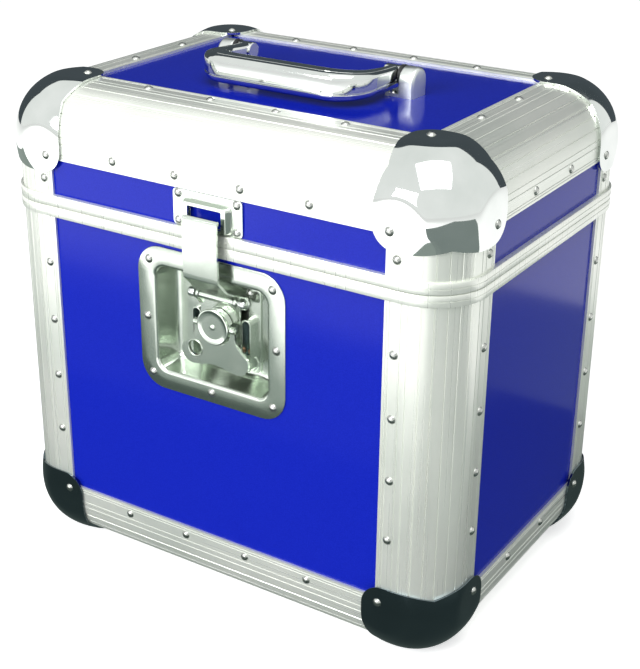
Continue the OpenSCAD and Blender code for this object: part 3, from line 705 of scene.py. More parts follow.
@dataclass
class CaseSizes:
    """Main sizes in millimetres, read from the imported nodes, and the section's own sizes."""

    half_w: float = field(init=False)
    half_d: float = field(init=False)
    base_z: float = field(init=False)
    top_z: float = field(init=False)
    seam_z: float = field(init=False)
    lid_z: float = field(init=False)
    edge_r: float = 38.0
    leg_w: float = 51.0
    skin: float = 1.8
    panel: float = 7.0
    web: float = 1.5
    groove_depth: float = 0.4
    groove_half: float = 0.45
    groove_count: int = 7
    pad_proud: float = 2.0

    def __post_init__(self) -> None:
        """Reads the outer sizes from the frame."""
        low, high = node_box("post_front_right")
        self.half_w, self.half_d = float(high[0]), float(-low[1])
        self.base_z = float(node_box("base_edge_front")[0][2])
        self.top_z = float(node_box("top_edge_front")[1][2])
        self.seam_z = float(node_box("body_rim")[1][2])
        self.lid_z = float(node_box("lid_front_panel")[0][2]) - 5.0

    @property
    def slot(self) -> float:
        """Depth of the panel slot's inner side behind the outer face."""
        return self.skin + self.panel

    @property
    def inner(self) -> float:
        """Depth of the inner leg's inner side behind the outer face."""
        return self.slot + self.web

    def corner(self, x_side: int, y_side: int, z_side: int) -> np.ndarray:
        """The sharp outer corner of the case on the given sides."""
        height = self.top_z if z_side > 0 else self.base_z
        return np.array([x_side * self.half_w, y_side * self.half_d, height])


@dataclass
class EdgeExtrusions:
    """The rounded edge extrusions: four posts of the body, four of the lid, and eight level edges."""

    sizes: CaseSizes
    palette: Palette
    end: float = 52.3
    post_low: float = field(init=False)
    slot_name: str = "aluminium_extrusion"

    def __post_init__(self) -> None:
        """Works out where the posts start."""
        self.post_low = self.sizes.base_z + self.end

    def outer_line(self) -> np.ndarray:
        """Outer line of the section, from the end of the leg along X round the curve to the other end.

        The line is followed by its length s: straight to the curve, a quarter circle, and straight
        again. Each fine groove moves the points near its middle inwards by the groove's depth, along
        the normal, and leaves them in place from half its width on.

        Returns:
            Array of shape (n, 2), the case's corner at the origin.
        """
        size = self.sizes
        straight, bend = size.leg_w - size.edge_r, size.edge_r * math.pi / 2
        total = 2 * straight + bend
        curve = straight + bend * (np.arange(size.groove_count) + 0.5) / size.groove_count
        flats = np.array([4.2 - 2.0, 4.2, straight - 0.5])
        middles = np.sort(np.concatenate([flats, curve, total - flats]))
        steps = np.array([-1.0, -0.35, 0.35, 1.0]) * size.groove_half
        fill = np.linspace(0.0, total, 64)
        near = np.abs(fill[:, None] - middles[None, :]).min(axis=1) < size.groove_half + 0.25
        s = np.sort(np.concatenate([(middles[:, None] + steps[None, :]).ravel(), fill[~near]]))
        gap = np.abs(s[:, None] - middles[None, :]).min(axis=1)
        depth = np.where(gap < 0.5 * size.groove_half, size.groove_depth, 0.0)
        t = np.clip((s - straight) / bend, 0.0, 1.0) * math.pi / 2
        centre = np.array([size.edge_r, size.edge_r])
        normal = np.column_stack([-np.sin(t), -np.cos(t)])
        before = np.clip(straight - s, 0.0, None)[:, None] * np.array([[1.0, 0.0]])
        after = np.clip(s - straight - bend, 0.0, None)[:, None] * np.array([[0.0, 1.0]])
        return centre + normal * (size.edge_r - depth[:, None]) + before + after

    def section(self) -> np.ndarray:
        """Closed outline: the outer line, the ends of the skin, the panel slots and the inner legs."""
        size = self.sizes
        web_far = size.edge_r - 1.0 + size.web
        leg = size.leg_w - 3.0
        inside = [(size.skin, size.leg_w), (size.skin, web_far), (size.slot, web_far), (size.slot, leg),
                  (size.inner, leg), (size.inner, web_far)]
        mirrored = [(y, x) for x, y in inside[::-1]]
        return np.concatenate([self.outer_line(), np.array(inside + mirrored)])

    def upright(self, x_side: int, y_side: int, low: float, high: float) -> Shell:
        """A post between two heights at one corner."""
        origin = (x_side * self.sizes.half_w, y_side * self.sizes.half_d, 0.0)
        turn = np.diag([-float(x_side), -float(y_side), 1.0])
        return extruded(self.section(), low, high).placed(turn, origin)

    def level(self, run: Run, side: int, z_side: int) -> Shell:
        """A level edge along the case's width or depth.

        Args:
            run: ACROSS for the front and back, ALONG for the left and right.
            side: -1 front or left, 1 back or right.
            z_side: -1 underside, 1 top.
        Returns:
            The shell in place.
        """
        size = self.sizes
        half = (size.half_w if run is Run.ACROSS else size.half_d) - self.end
        bar = extruded(self.section(), -half, half)
        if run is Run.ACROSS:
            turn = np.array([[0, 0, 1], [1, 0, 0], [0, 1, 0]], float)
            corner = np.array([0.0, side * size.half_d, 0.0])
            flip = np.diag([1.0, -float(side), -float(z_side)])
        else:
            turn = np.array([[1, 0, 0], [0, 0, 1], [0, 1, 0]], float)
            corner = np.array([side * size.half_w, 0.0, 0.0])
            flip = np.diag([-float(side), 1.0, -float(z_side)])
        corner[2] = size.top_z if z_side > 0 else size.base_z
        return bar.placed(flip @ turn, corner)

    def build(self) -> None:
        """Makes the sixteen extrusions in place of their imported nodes."""
        for name, (x_side, y_side) in CORNERS.items():
            for prefix, body in (("post", Body.CASE), ("lid_post", Body.LID)):
                node = f"{prefix}_{name}"
                low, high = node_box(node)
                shell = self.upright(x_side, y_side, low[2], high[2])
                make_piece(f"{node}_extrusion", shell, self.palette.aluminium[Run.UP], body,
                           [node], smooth=20.0)
        places = {"front": (Run.ACROSS, -1), "back": (Run.ACROSS, 1), "left": (Run.ALONG, -1),
                  "right": (Run.ALONG, 1)}
        for name, (run, side) in places.items():
            for prefix, z_side, body in (("base_edge", -1, Body.CASE), ("top_edge", 1, Body.LID)):
                node = f"{prefix}_{name}"
                make_piece(f"{node}_extrusion", self.level(run, side, z_side),
                           self.palette.aluminium[run], body, [node], smooth=20.0)


@dataclass
class BallCorners:
    """Pressed corners: a ball over the case's corner, with a flat round pad on each face and a skirt."""

    sizes: CaseSizes
    palette: Palette
    ball_r: float = 49.5
    centre: float = 44.0
    skirt: float = 1.2
    pad_r: float = 17.0
    crease: float = 1.1
    pad_edge: float = 0.7
    edge: float = 0.35

    def domain(self) -> tuple[np.ndarray, np.ndarray]:
        """Places on one face of the case, as a square grid whose far corner is a quarter circle.

        Up to the ball's centre the grid is a plain square. Beyond it, a point (x, y) of the unit square
        goes to (x sqrt(1 - y^2/2), y sqrt(1 - x^2/2)), which fills the quarter circle. The circle is
        drawn smaller by the pad's share of the height, so that it has its full radius on the pad.

        Returns:
            The two coordinates in millimetres, each of shape (n, n).
        """
        reach = self.pad_r * self.centre / (self.centre + self.sizes.pad_proud)
        steps = np.concatenate([np.linspace(0.0, 1.0, 37)[:-1] * self.centre,
                                self.centre + np.linspace(0.0, 1.0, 17) * reach])
        a, b = np.meshgrid(steps, steps, indexing="ij")
        x = np.clip((a - self.centre) / reach, 0.0, 1.0)
        y = np.clip((b - self.centre) / reach, 0.0, 1.0)
        round_a = np.where(x > 0, self.centre + reach * x * np.sqrt(1 - y * y / 2), a)
        round_b = np.where(y > 0, self.centre + reach * y * np.sqrt(1 - x * x / 2), b)
        return round_a, round_b

    def outer_field(self, points: np.ndarray) -> np.ndarray:
        """Distance to the pressed form: below zero inside it.

        The form is the soft union of a ball and a rounded block, cut by the three planes of the pads. A
        soft minimum of f and g over a width k is min(f, g) - max(k - |f - g|, 0)^2 / (4 k).

        Args:
            points: Array of shape (..., 3).
        Returns:
            The distances.
        """
        ball = np.linalg.norm(points - self.centre, axis=-1) - self.ball_r
        block = self.block_field(points, self.skirt)
        gap = np.clip(self.crease * 3 - np.abs(ball - block), 0.0, None)
        form = np.minimum(ball, block) - gap ** 2 / (12 * self.crease)
        pads = (-self.sizes.pad_proud - points).max(axis=-1)
        gap = np.clip(self.pad_edge * 2 - np.abs(form - pads), 0.0, None)
        return np.maximum(form, pads) + gap ** 2 / (8 * self.pad_edge)

    def block_field(self, points: np.ndarray, grow: float) -> np.ndarray:
        """Distance to the rounded corner of the case, moved out by a wall."""
        inside = np.clip(self.sizes.edge_r - points, 0.0, None)
        return np.linalg.norm(inside, axis=-1) - self.sizes.edge_r - grow

    def on_surface(self, aim: np.ndarray, distance: Callable[[np.ndarray], np.ndarray]) -> np.ndarray:
        """Follows rays from the ball's centre to a surface, by halving the span that holds it.

        Args:
            aim: Points that the rays go through.
            distance: The field whose zero is the surface.
        Returns:
            A point of the surface on each ray.
        """
        ray = aim - self.centre
        ray /= np.linalg.norm(ray, axis=-1, keepdims=True)
        low = np.full(ray.shape[:-1], self.centre * 0.3)
        high = np.full(ray.shape[:-1], self.centre * 2.2)
        for _ in range(36):
            middle = (low + high) / 2
            inside = distance(self.centre + ray * middle[..., None]) < 0
            low, high = np.where(inside, middle, low), np.where(inside, high, middle)
        return self.centre + ray * low[..., None]

    def shell(self) -> Shell:
        """One corner at the origin: three outer and three inner patches, joined along the outline."""
        a, b = self.domain()
        count = len(a)
        patches = []
        for turn in range(3):
            aim = np.roll(np.stack([a, b, np.zeros_like(a)], axis=-1), turn, axis=-1)
            outer = self.on_surface(aim, self.outer_field)
            inner = self.on_surface(aim, lambda p: self.block_field(p, 0.04))
            faces = grid_faces(count, count)
            size = count * count
            rows = np.arange(count)
            border = np.concatenate([(count - 1) * count + rows, (rows * count + count - 1)[::-1][1:]])
            strip = np.stack([border[:-1], border[1:], border[1:] + size, border[:-1] + size], axis=-1)
            points = np.concatenate([outer.reshape(-1, 3), inner.reshape(-1, 3)])
            patches.append(Shell(points, np.concatenate([faces, faces[:, ::-1] + size, strip]).tolist()))
        return welded(joined(patches))

    def build(self) -> None:
        """Makes the eight corners: mirror chrome on the lid, and on the body the same chrome painted darker as
        painted shade.
        """
        shell = self.shell()
        kinds = {"base_corner": (-1, self.palette.painted_shade_chrome, Body.CASE, "dark_corner"),
                 "top_corner": (1, self.palette.chrome, Body.LID, "chrome_corner")}
        for name, (x_side, y_side) in CORNERS.items():
            for prefix, (z_side, finish, body, slot) in kinds.items():
                sides = (x_side, y_side, z_side)
                placed = shell.placed(side_turn(*sides), self.sizes.corner(*sides))
                piece = make_piece(f"{prefix}_{name}_pressing", placed, finish, body,
                                   [f"{prefix}_{name}"], smooth=50.0)
                soften(piece, self.edge)


@dataclass
class Rims:
    """The two rims at the seam: a tongue under the lid's rim and a groove in the body's."""

    sizes: CaseSizes
    palette: Palette
    height: float = 8.2
    proud: float = 2.0
    web: float = 4.8
    groove_d: float = 3.3
    groove_w: float = 3.0
    tongue_w: float = 1.8
    tongue_d: float = 3.0
    round: float = 0.5
    line_depth: float = 0.35

    def outer_face(self) -> list[tuple[float, float]]:
        """Outer face of a rim from the seam outwards: out from the outline, and away from the seam."""
        p, r, mid, line = self.proud, self.round, self.height / 2, self.line_depth
        return [(p - r, 0.0), (p - 0.3 * r, 0.3 * r), (p, r), (p, mid - 0.35), (p - line, mid - 0.15),
                (p - line, mid + 0.15), (p, mid + 0.35), (p, self.height - r),
                (p - 0.3 * r, self.height - 0.3 * r), (p - r, self.height)]

    def profile(self, tongue: bool) -> np.ndarray:
        """Closed profile: outer face, panel slot, inner wall and the tongue or groove at the seam."""
        size = self.sizes
        middle = -(size.skin + size.slot) / 2
        back = [(-size.skin, self.height), (-size.skin, self.web), (-size.slot, self.web),
                (-size.slot, self.height), (-size.inner, self.height), (-size.inner, 0.0)]
        half, depth = (self.tongue_w / 2, -self.tongue_d) if tongue else (self.groove_w / 2, self.groove_d)
        joint = [(middle - half, 0.0), (middle - half, depth), (middle + half, depth), (middle + half, 0.0)]
        return np.array(self.outer_face() + back + joint)

    def ring(self, tongue: bool) -> Shell:
        """Carries the profile round the case's outline.

        The outline is a rectangle with quarter-circle corners. The profile's first number moves a point
        out along the outline's normal, its second moves it away from the seam.

        Args:
            tongue: The lid's rim, above the seam; otherwise the body's, below it.
        Returns:
            The shell in place.
        """
        size = self.sizes
        profile = self.profile(tongue)
        count = 15
        turn = np.radians(np.linspace(0.0, 90.0, count))
        angle = np.concatenate([turn + quarter * math.pi / 2 for quarter in range(4)])
        sign = np.array([(1, 1), (-1, 1), (-1, -1), (1, -1)], float).repeat(count, axis=0)
        half = np.array([size.half_w - size.edge_r, size.half_d - size.edge_r])
        normal = np.column_stack([np.cos(angle), np.sin(angle)])
        path = sign * half + normal * size.edge_r
        flat = path[:, None, :] + normal[:, None, :] * profile[None, :, :1]
        level = size.lid_z + profile[:, 1] if tongue else size.seam_z - profile[:, 1]
        loops = np.concatenate([flat, np.broadcast_to(level[None, :, None], (*flat.shape[:2], 1))], axis=-1)
        return tube(loops, closed_path=True)

    def build(self) -> None:
        """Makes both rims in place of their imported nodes."""
        for node, tongue, body in (("body_rim", False, Body.CASE), ("lid_rim", True, Body.LID)):
            make_piece(f"{node}_strip", self.ring(tongue), self.palette.aluminium[Run.UP], body,
                       [node], smooth=24.0)


def solids_of(node: str) -> list[tuple[np.ndarray, np.ndarray]]:
    """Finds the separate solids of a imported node.

    Corners that lie in the same place get one number. Every triangle then gives its three corners the
    lowest number among them, again and again until nothing changes, so each solid ends with one number.

    Args:
        node: The node's name.
    Returns:
        The lowest and highest corner of each solid, in millimetres.
    """
    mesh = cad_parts[node].data
    mesh.calc_loop_triangles()
    corners = np.zeros(len(mesh.vertices) * 3)
    mesh.vertices.foreach_get("co", corners)
    triangles = np.zeros(len(mesh.loop_triangles) * 3, int)
    mesh.loop_triangles.foreach_get("vertices", triangles)
    points, same = np.unique(np.round(corners.reshape(-1, 3) / MM, 2), axis=0, return_inverse=True)
    triangles = same.ravel()[triangles].reshape(-1, 3)
    label = np.arange(len(points))
    while True:
        lowest = label[triangles].min(axis=1)
        fresh = label.copy()
        np.minimum.at(fresh, triangles.ravel(), lowest.repeat(3))
        if np.array_equal(fresh, label):
            break
        label = fresh
    groups = (points[label == number] for number in np.unique(label))
    return [(group.min(axis=0), group.max(axis=0)) for group in groups]


@dataclass
class Rivets:
    """Round-head rivets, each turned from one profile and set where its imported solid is."""

    palette: Palette
    head_r: float = 3.3
    head_h: float = 1.8
    shank_r: float = 1.6
    tail_h: float = 0.8
    steps: int = 20

    def turned(self, length: float) -> Shell:
        """One rivet along Z, its head on the plane z = 0: a cap of a ball, a shank and a flat tail.

        Args:
            length: Length of the shank between head and tail.
        Returns:
            The turned shell.
        """
        ball = (self.head_r ** 2 + self.head_h ** 2) / (2 * self.head_h)
        spread_angle = math.degrees(math.asin(self.head_r / ball))
        dome = arc((0.0, self.head_h - ball), ball, 90.0, 90.0 - spread_angle, 6)
        tail_r = 0.8 * self.head_r
        rest = [(self.head_r, -0.05), (self.shank_r, -0.05), (self.shank_r, -length), (tail_r, -length),
                (tail_r, -length - self.tail_h), (0.0, -length - self.tail_h)]
        return lathed(np.concatenate([dome, rest]), self.steps)

    def set_of(self, node: str) -> Shell:
        """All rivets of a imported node.

        A rivet's axis is the one whose two other sizes are alike, and its head looks away from the
        middle of the case.

        Args:
            node: The node's name.
        Returns:
            The rivets as one shell.
        """
        middle = sum(np.array(corner) for corner in CAD_BOX) / (2 * MM)
        shells = []
        for low, high in solids_of(node):
            size = high - low
            axis = min(range(3), key=lambda i: abs(size[i - 1] - size[i - 2]))
            side = 1.0 if (low + high)[axis] / 2 > middle[axis] else -1.0
            turn = np.roll(np.eye(3), axis + 1, axis=0)
            turn[axis] *= side
            origin = (low + high) / 2
            origin[axis] = (high if side > 0 else low)[axis] - side * self.head_h
            shells.append(self.turned(size[axis] - self.head_h - self.tail_h).placed(turn, origin))
        return joined(shells)

    def build(self) -> None:
        """Makes the four sets of rivets."""
        sets = {"body_rivets": Body.CASE, "dish_rivets": Body.CASE, "lid_rivets": Body.LID,
                "keeper_rivets": Body.LID}
        for node, body in sets.items():
            make_piece(f"{node}_set", self.set_of(node), self.palette.rivet, body, [node],
                       smooth=40.0)


@dataclass
class Boards:
    """The laminated panels, and the foam sheets on the floor and under the top."""

    palette: Palette
    foam_round: float = 2.0
    foam_dip: float = 0.35

    def foam_sheet(self, low: np.ndarray, high: np.ndarray) -> Shell:
        """A foam sheet between two corners, with rounded edges and a shallow hollow in its middle.

        Over a grid in u and v from -1 to 1 the face sinks by the dip times (1 - u^2)(1 - v^2), and it
        drops to the edge along a quarter circle of the rounding.

        Args:
            low: Lowest corner.
            high: Highest corner.
        Returns:
            The shell.
        """
        count = 25
        inset = self.foam_round * (1 - np.cos(np.linspace(0, math.pi / 2, 5)))
        size = high - low
        rows = [np.concatenate([inset / s, np.linspace(0, 1, count)[1:-1], 1 - inset[::-1] / s])
                for s in size[:2]]
        u, v = np.meshgrid(np.unique(rows[0]), np.unique(rows[1]), indexing="ij")
        edge = np.minimum(np.minimum(u, 1 - u) * size[0], np.minimum(v, 1 - v) * size[1])
        fall = np.clip(self.foam_round - edge, 0.0, self.foam_round)
        drop = self.foam_round - np.sqrt(self.foam_round ** 2 - fall ** 2)
        dip = self.foam_dip * (1 - (2 * u - 1) ** 2) * (1 - (2 * v - 1) ** 2)
        flat = [low[0] + u * size[0], low[1] + v * size[1]]
        upper = np.stack([*flat, high[2] - drop - dip], axis=-1)
        lower = np.stack([*flat, np.full_like(u, low[2])], axis=-1)
        n, m = u.shape
        faces = grid_faces(n, m)
        side = np.concatenate([np.arange(m), (np.arange(1, n)) * m + m - 1,
                               (n - 1) * m + np.arange(m - 2, -1, -1), np.arange(n - 2, 0, -1) * m])
        after = np.roll(side, -1)
        wall = np.stack([side, side + n * m, after + n * m, after], axis=-1)
        points = np.concatenate([upper.reshape(-1, 3), lower.reshape(-1, 3)])
        return Shell(points, np.concatenate([faces, faces[:, ::-1] + n * m, wall]).tolist())

    def build(self) -> None:
        """Dresses the panels and makes the two foam sheets."""
        for name in ("front", "back", "left", "right"):
            dress(f"{name}_panel", self.palette.laminate)
            dress(f"lid_{name}_panel", self.palette.laminate)
        dress("top_panel", self.palette.laminate)
        dress("base_panel", self.palette.plywood)
        for node, body, flip in (("base_pad", Body.CASE, 1.0), ("lid_pad", Body.LID, -1.0)):
            low, high = node_box(node)
            middle = (low + high) / 2
            shell = self.foam_sheet(low - middle, high - middle).placed(np.diag([1.0, 1.0, flip]), middle)
            piece = make_piece(f"{node}_foam", shell, self.palette.foam, body, [node])


TURN_TO_FRONT = np.array([[1.0, 0.0, 0.0], [0.0, 0.0, -1.0], [0.0, 1.0, 0.0]])
TURN_TO_SIDE = np.array([[0.0, 0.0, 1.0], [1.0, 0.0, 0.0], [0.0, 1.0, 0.0]])


def pierced(outline: np.ndarray, holes: list[np.ndarray], low: float, high: float) -> Shell:
    """A flat plate with holes: both faces are cut into triangles and joined by the walls.

    Args:
        outline: Outer outline, array of shape (n, 2), turning left.
        holes: Outlines of the holes, turning left.
        low: Height of the lower face.
        high: Height of the upper face.
    Returns:
        The closed plate.
    """
    loops = [outline, *holes]
    flat = np.concatenate(loops)
    triangles = tessellate_polygon([[Vector((*point, 0.0)) for point in loop] for loop in loops])
    count = len(flat)
    points = np.concatenate([np.column_stack([flat, np.full(count, z)]) for z in (low, high)])
    faces = [list(face)[::-1] for face in triangles]
    faces += [[index + count for index in face] for face in triangles]
    start = 0
    for loop in loops:
        around = [(start + j, start + (j + 1) % len(loop)) for j in range(len(loop))]
        faces += [[a, b, b + count, a + count] for a, b in around]
        start += len(loop)
    return Shell(points, faces)


def block(low: Iterable[float], high: Iterable[float]) -> Shell:
    """A box from its lowest to its highest corner, in millimetres."""
    (x0, y0, z0), (x1, y1, z1) = low, high
    return extruded(np.array([(x0, y0), (x1, y0), (x1, y1), (x0, y1)]), z0, z1)


def to_side(side: int) -> np.ndarray:
    """Matrix that lays a piece turned about Z along X, with its end to the left (-1) or right (1)."""
    return np.array([[0.0, 0.0, side], [1.0, 0.0, 0.0], [0.0, 1.0, 0.0]])


def facing_loop(flat: np.ndarray, y: float, z: float, x: float = 0.0) -> np.ndarray:
    """Stands a flat outline upright, facing the front.

    Args:
        flat: Outline, array of shape (n, 2).
        y: Its depth.
        z: Height of its origin.
        x: Place of its origin across.
    Returns:
        Array of shape (n, 3).
    """
    return np.column_stack([flat[:, 0] + x, np.full(len(flat), y), flat[:, 1] + z])


def circle(centre: tuple[float, float], radius: float, count: int = 40) -> np.ndarray:
    """Points of a full circle, turning left, the last one short of the first."""
    return arc(centre, radius, 0.0, 360.0, count + 1)[:-1]


def filleted(corners: list[tuple[float, float]], radius: float, count: int = 6) -> np.ndarray:
    """Open path of straight pieces whose bends are arcs.

    At a bend of angle a the arc starts radius * tan(a / 2) before the corner; its centre lies on the
    bisector.

    Args:
        corners: The path's corners.
        radius: Radius of the arcs.
        count: Points of an arc.
    Returns:
        The path's points.
    """
    path = np.asarray(corners, float)
    points = [path[:1]]
    for before, corner, after in zip(path[:-2], path[1:-1], path[2:]):
        back = (before - corner) / np.linalg.norm(before - corner)
        ahead = (after - corner) / np.linalg.norm(after - corner)
        half = math.acos(float(np.clip(back @ ahead, -1.0, 1.0))) / 2
        reach = radius / math.tan(half)
        share = np.linspace(0.0, 1.0, count)[:, None]
        turn = (math.pi - 2 * half) * share
        middle = corner + (back + ahead) / np.linalg.norm(back + ahead) * radius / math.sin(half)
        first = corner + back * reach - middle
        side = -back * radius
        points.append(middle + first * np.cos(turn) + side * np.sin(turn))
    points.append(path[-1:])
    return np.concatenate(points)


def sheet_outline(path: np.ndarray, thickness: float) -> np.ndarray:
    """Outline of a bent sheet seen from its edge: the path shifted by half the sheet to both sides.

    Args:
        path: Middle line, array of shape (n, 2).
        thickness: Sheet thickness.
    Returns:
        Closed outline of 2 n points.
    """
    along = np.gradient(path, axis=0)
    normal = np.column_stack([-along[:, 1], along[:, 0]]) / np.linalg.norm(along, axis=1)[:, None]
    return np.concatenate([path + normal * thickness / 2, (path - normal * thickness / 2)[::-1]])


@dataclass
class TwistLatch:
    """The recessed twist latch, its draw arm, and the keeper on the lid.

    Attributes:
        palette: The finishes.
        mouth: Width, height and corner radius of the recess at the flange.
        draft: How far each wall draws in over the depth.
        lip: Radius of the rounded mouth edge.
        bottom: Radius between the walls and the floor.
        sheet: Thickness of the pressed sheet.
        flange_r: Corner radius of the flange.
        plate_t: Thickness of the bracket, the drawbar and the keeper.
        arm_t: Thickness of the draw arm.
        guide: Width, height and depth of a guide on the bracket.
        guide_rise: Height of a guide's middle over the bracket's lower edge.
        ear_r: Radius of the thumb turn's ears.
        ear_span: Distance of an ear's inner and outer side from the latch's middle.
        padlock_hole: Place of the padlock hole from the hub's centre.
        padlock_r: Its radius.
        window: Width and height of the keeper's window.
        bar_drop: Drop from the arm's top to the window's lower edge.
    """

    palette: Palette
    mouth: tuple[float, float, float] = (96.5, 81.0, 9.0)
    draft: float = 5.0
    lip: float = 2.6
    bottom: float = 4.5
    sheet: float = 1.2
    flange_r: float = 20.0
    plate_t: float = 1.5
    arm_t: float = 1.8
    guide: tuple[float, float, float] = (8.0, 40.0, 6.0)
    guide_rise: float = 22.0
    ear_r: float = 2.6
    ear_span: tuple[float, float] = (14.3, 17.4)
    padlock_hole: tuple[float, float] = (-17.0, -20.5)
    padlock_r: float = 5.6
    window: tuple[float, float] = (28.0, 13.0)
    bar_drop: float = 8.1
    flange_y: float = field(init=False)
    floor_y: float = field(init=False)
    dish_z: float = field(init=False)
    hub_z: float = field(init=False)
    channel_x: float = 21.5

    def __post_init__(self) -> None:
        """Reads the places of the dish and the hub from the frame."""
        low, high = node_box("latch_dish")
        self.flange_y = float(low[1])
        self.floor_y = float(high[1]) - self.sheet
        self.dish_z = float(low[2] + high[2]) / 2
        cap_low, cap_high = node_box("hub_cap")
        self.hub_z = float(cap_low[2] + cap_high[2]) / 2

    def piece(self, name: str, shell: Shell, body: Body, stands_for: Iterable[str] = (),
              finish: bpy.types.Material | None = None, edge: float = 0.3, smooth: float = 40.0) -> None:
        """Makes one piece of the latch.

        Args:
            name: Its name.
            shell: Its surface.
            body: The body that it moves with.
            stands_for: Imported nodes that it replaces.
            finish: Its material, bright zinc if none is given.
            edge: Width of its rounded edges; 0 leaves them as they are.
            smooth: Edges that bend by more than this many degrees stay sharp.
        """
        made = make_piece(name, shell, finish or self.palette.zinc, body, stands_for,
                          smooth=smooth)
        if edge:
            soften(made, edge)

    def cup_profile(self) -> np.ndarray:
        """Section of the cup as growth of the mouth's outline against depth y, from floor to flange.

        The wall's growth is -draft * depth / full depth. The bottom and the lip are arcs that touch the
        wall where their tangent has the wall's slope.
        """
        depth = self.floor_y - self.flange_y
        lean = math.atan(self.draft / depth)
        y_touch = self.floor_y - self.bottom * (1 - math.sin(lean))
        grow = -self.draft * (y_touch - self.flange_y) / depth - self.bottom * math.cos(lean)
        turn = np.linspace(0.0, math.pi / 2 - lean, 8)
        low = np.column_stack([grow + self.bottom * np.sin(turn),
                               self.floor_y - self.bottom * (1 - np.cos(turn))])
        y_leave = self.flange_y + self.lip * (1 - math.sin(lean))
        out = -self.draft * (y_leave - self.flange_y) / depth + self.lip * math.cos(lean)
        turn = np.linspace(-lean, math.pi / 2, 8)
        high = np.column_stack([out - self.lip * np.cos(turn),
                                self.flange_y + self.lip * (1 - np.sin(turn))])
        return np.concatenate([low, high])

    def dish(self) -> Shell:
        """The pressed dish: flange, rounded lip, drawn walls and floor, with the sheet's thickness."""
        width, height, radius = self.mouth
        low, high = node_box("latch_dish")
        flange_w, flange_h = float(high[0] - low[0]), float(high[2] - low[2])
        front = self.cup_profile()
        rings = [(width + 2 * grow, height + 2 * grow, max(radius + grow, 2.0), y) for grow, y in front]
        edge = 0.5
        for inset, y in ((edge, 0.0), (edge * 0.3, edge * 0.3), (0.0, edge), (0.0, self.sheet)):
            rings.append((flange_w - 2 * inset, flange_h - 2 * inset, self.flange_r - inset, self.flange_y + y))
        back = [(width + 2 * (grow + self.sheet), height + 2 * (grow + self.sheet),
                 max(radius + grow + self.sheet, 3.0), y + self.sheet) for grow, y in front[::-1]
                if y > self.flange_y + self.lip]
        rings.append((back[0][0], back[0][1], back[0][2], self.flange_y + self.sheet))
        rings += back
        loops = []
        for ring_w, ring_h, ring_r, y in rings:
            flat = rounded_outline(ring_w, ring_h, ring_r, 10)
            loops.append(facing_loop(flat, y, self.dish_z))
        return tube(np.stack(loops))

    def bracket(self) -> Shell:
        """The bracket on the floor: a plate and, each side, a guide with a rounded head and foot."""
        low, high = node_box("latch_frame")
        back, plate_y = float(high[1]), float(high[1]) - self.plate_t
        plate = rounded_outline(float(high[0] - low[0]), float(high[2] - low[2]), 3.0, 5)
        middle = float(low[2] + high[2]) / 2
        parts = [extruded(plate, -back, -plate_y).placed(TURN_TO_FRONT, (0.0, 0.0, middle))]
        guide_z = float(low[2]) + self.guide_rise
        guide_w, guide_h, guide_d = self.guide
        outer = rounded_outline(guide_w, guide_h, guide_w / 2 - 0.1, 8)
        inner = rounded_outline(guide_w - 2.0, guide_h - 2.0, guide_w / 2 - 1.1, 8)
        for side in (-1, 1):
            levels = [(outer, plate_y + 0.3), (outer, plate_y - guide_d), (inner, plate_y - guide_d),
                      (inner, plate_y + 0.3)]
            loops = [facing_loop(flat, y, guide_z, side * self.channel_x) for flat, y in levels]
            parts.append(tube(np.stack(loops), closed_path=True))
            foot = extruded(circle((0.0, 0.0), 6.2, 28), -plate_y - 0.2, -plate_y + 0.9)
            foot_place = (side * (self.channel_x + 1.0), 0.0, float(low[2]) + 7.4)
            parts.append(foot.placed(TURN_TO_FRONT, foot_place))
        post = extruded(circle((0.0, 0.0), 4.0), -plate_y, -plate_y + 9.0)
        parts.append(post.placed(TURN_TO_FRONT, (0.0, 0.0, self.hub_z)))
        return joined(parts)

    def wing_outline(self) -> np.ndarray:
        """Outline of the folded thumb turn about the hub's centre.

        From the ear the side sweeps out to a round lobe along a quadratic curve
        (1 - t)^2 a + 2 t (1 - t) b + t^2 c; the lower edge between the lobes is
        z = -29.8 - 2.6 sin^2(pi x / 32).
        """
        ear_in, ear_out = self.ear_span
        t = np.linspace(0.0, 1.0, 9)[:, None]
        start, pull, end = np.array([[ear_out, -6.0], [ear_out + 0.5, -12.5], [28.0, -19.2]])
        sweep = (1 - t) ** 2 * start + 2 * t * (1 - t) * pull + t ** 2 * end
        lobe = arc((19.5, -23.5), 9.5, 24.0, -105.0, 16)
        x = np.linspace(15.0, 0.0, 9)
        lower = np.column_stack([x, -29.8 - 2.6 * np.sin(math.pi * x / 32.0) ** 2])
        right = np.concatenate([[(ear_in, 0.0), (ear_out, 0.0)], sweep, lobe, lower])
        left = (right * (-1.0, 1.0))[::-1][1:]
        inner = arc((0.0, 0.0), ear_in, 180.0, 360.0, 28)[1:-1]
        return np.concatenate([right, left, inner])[::-1]

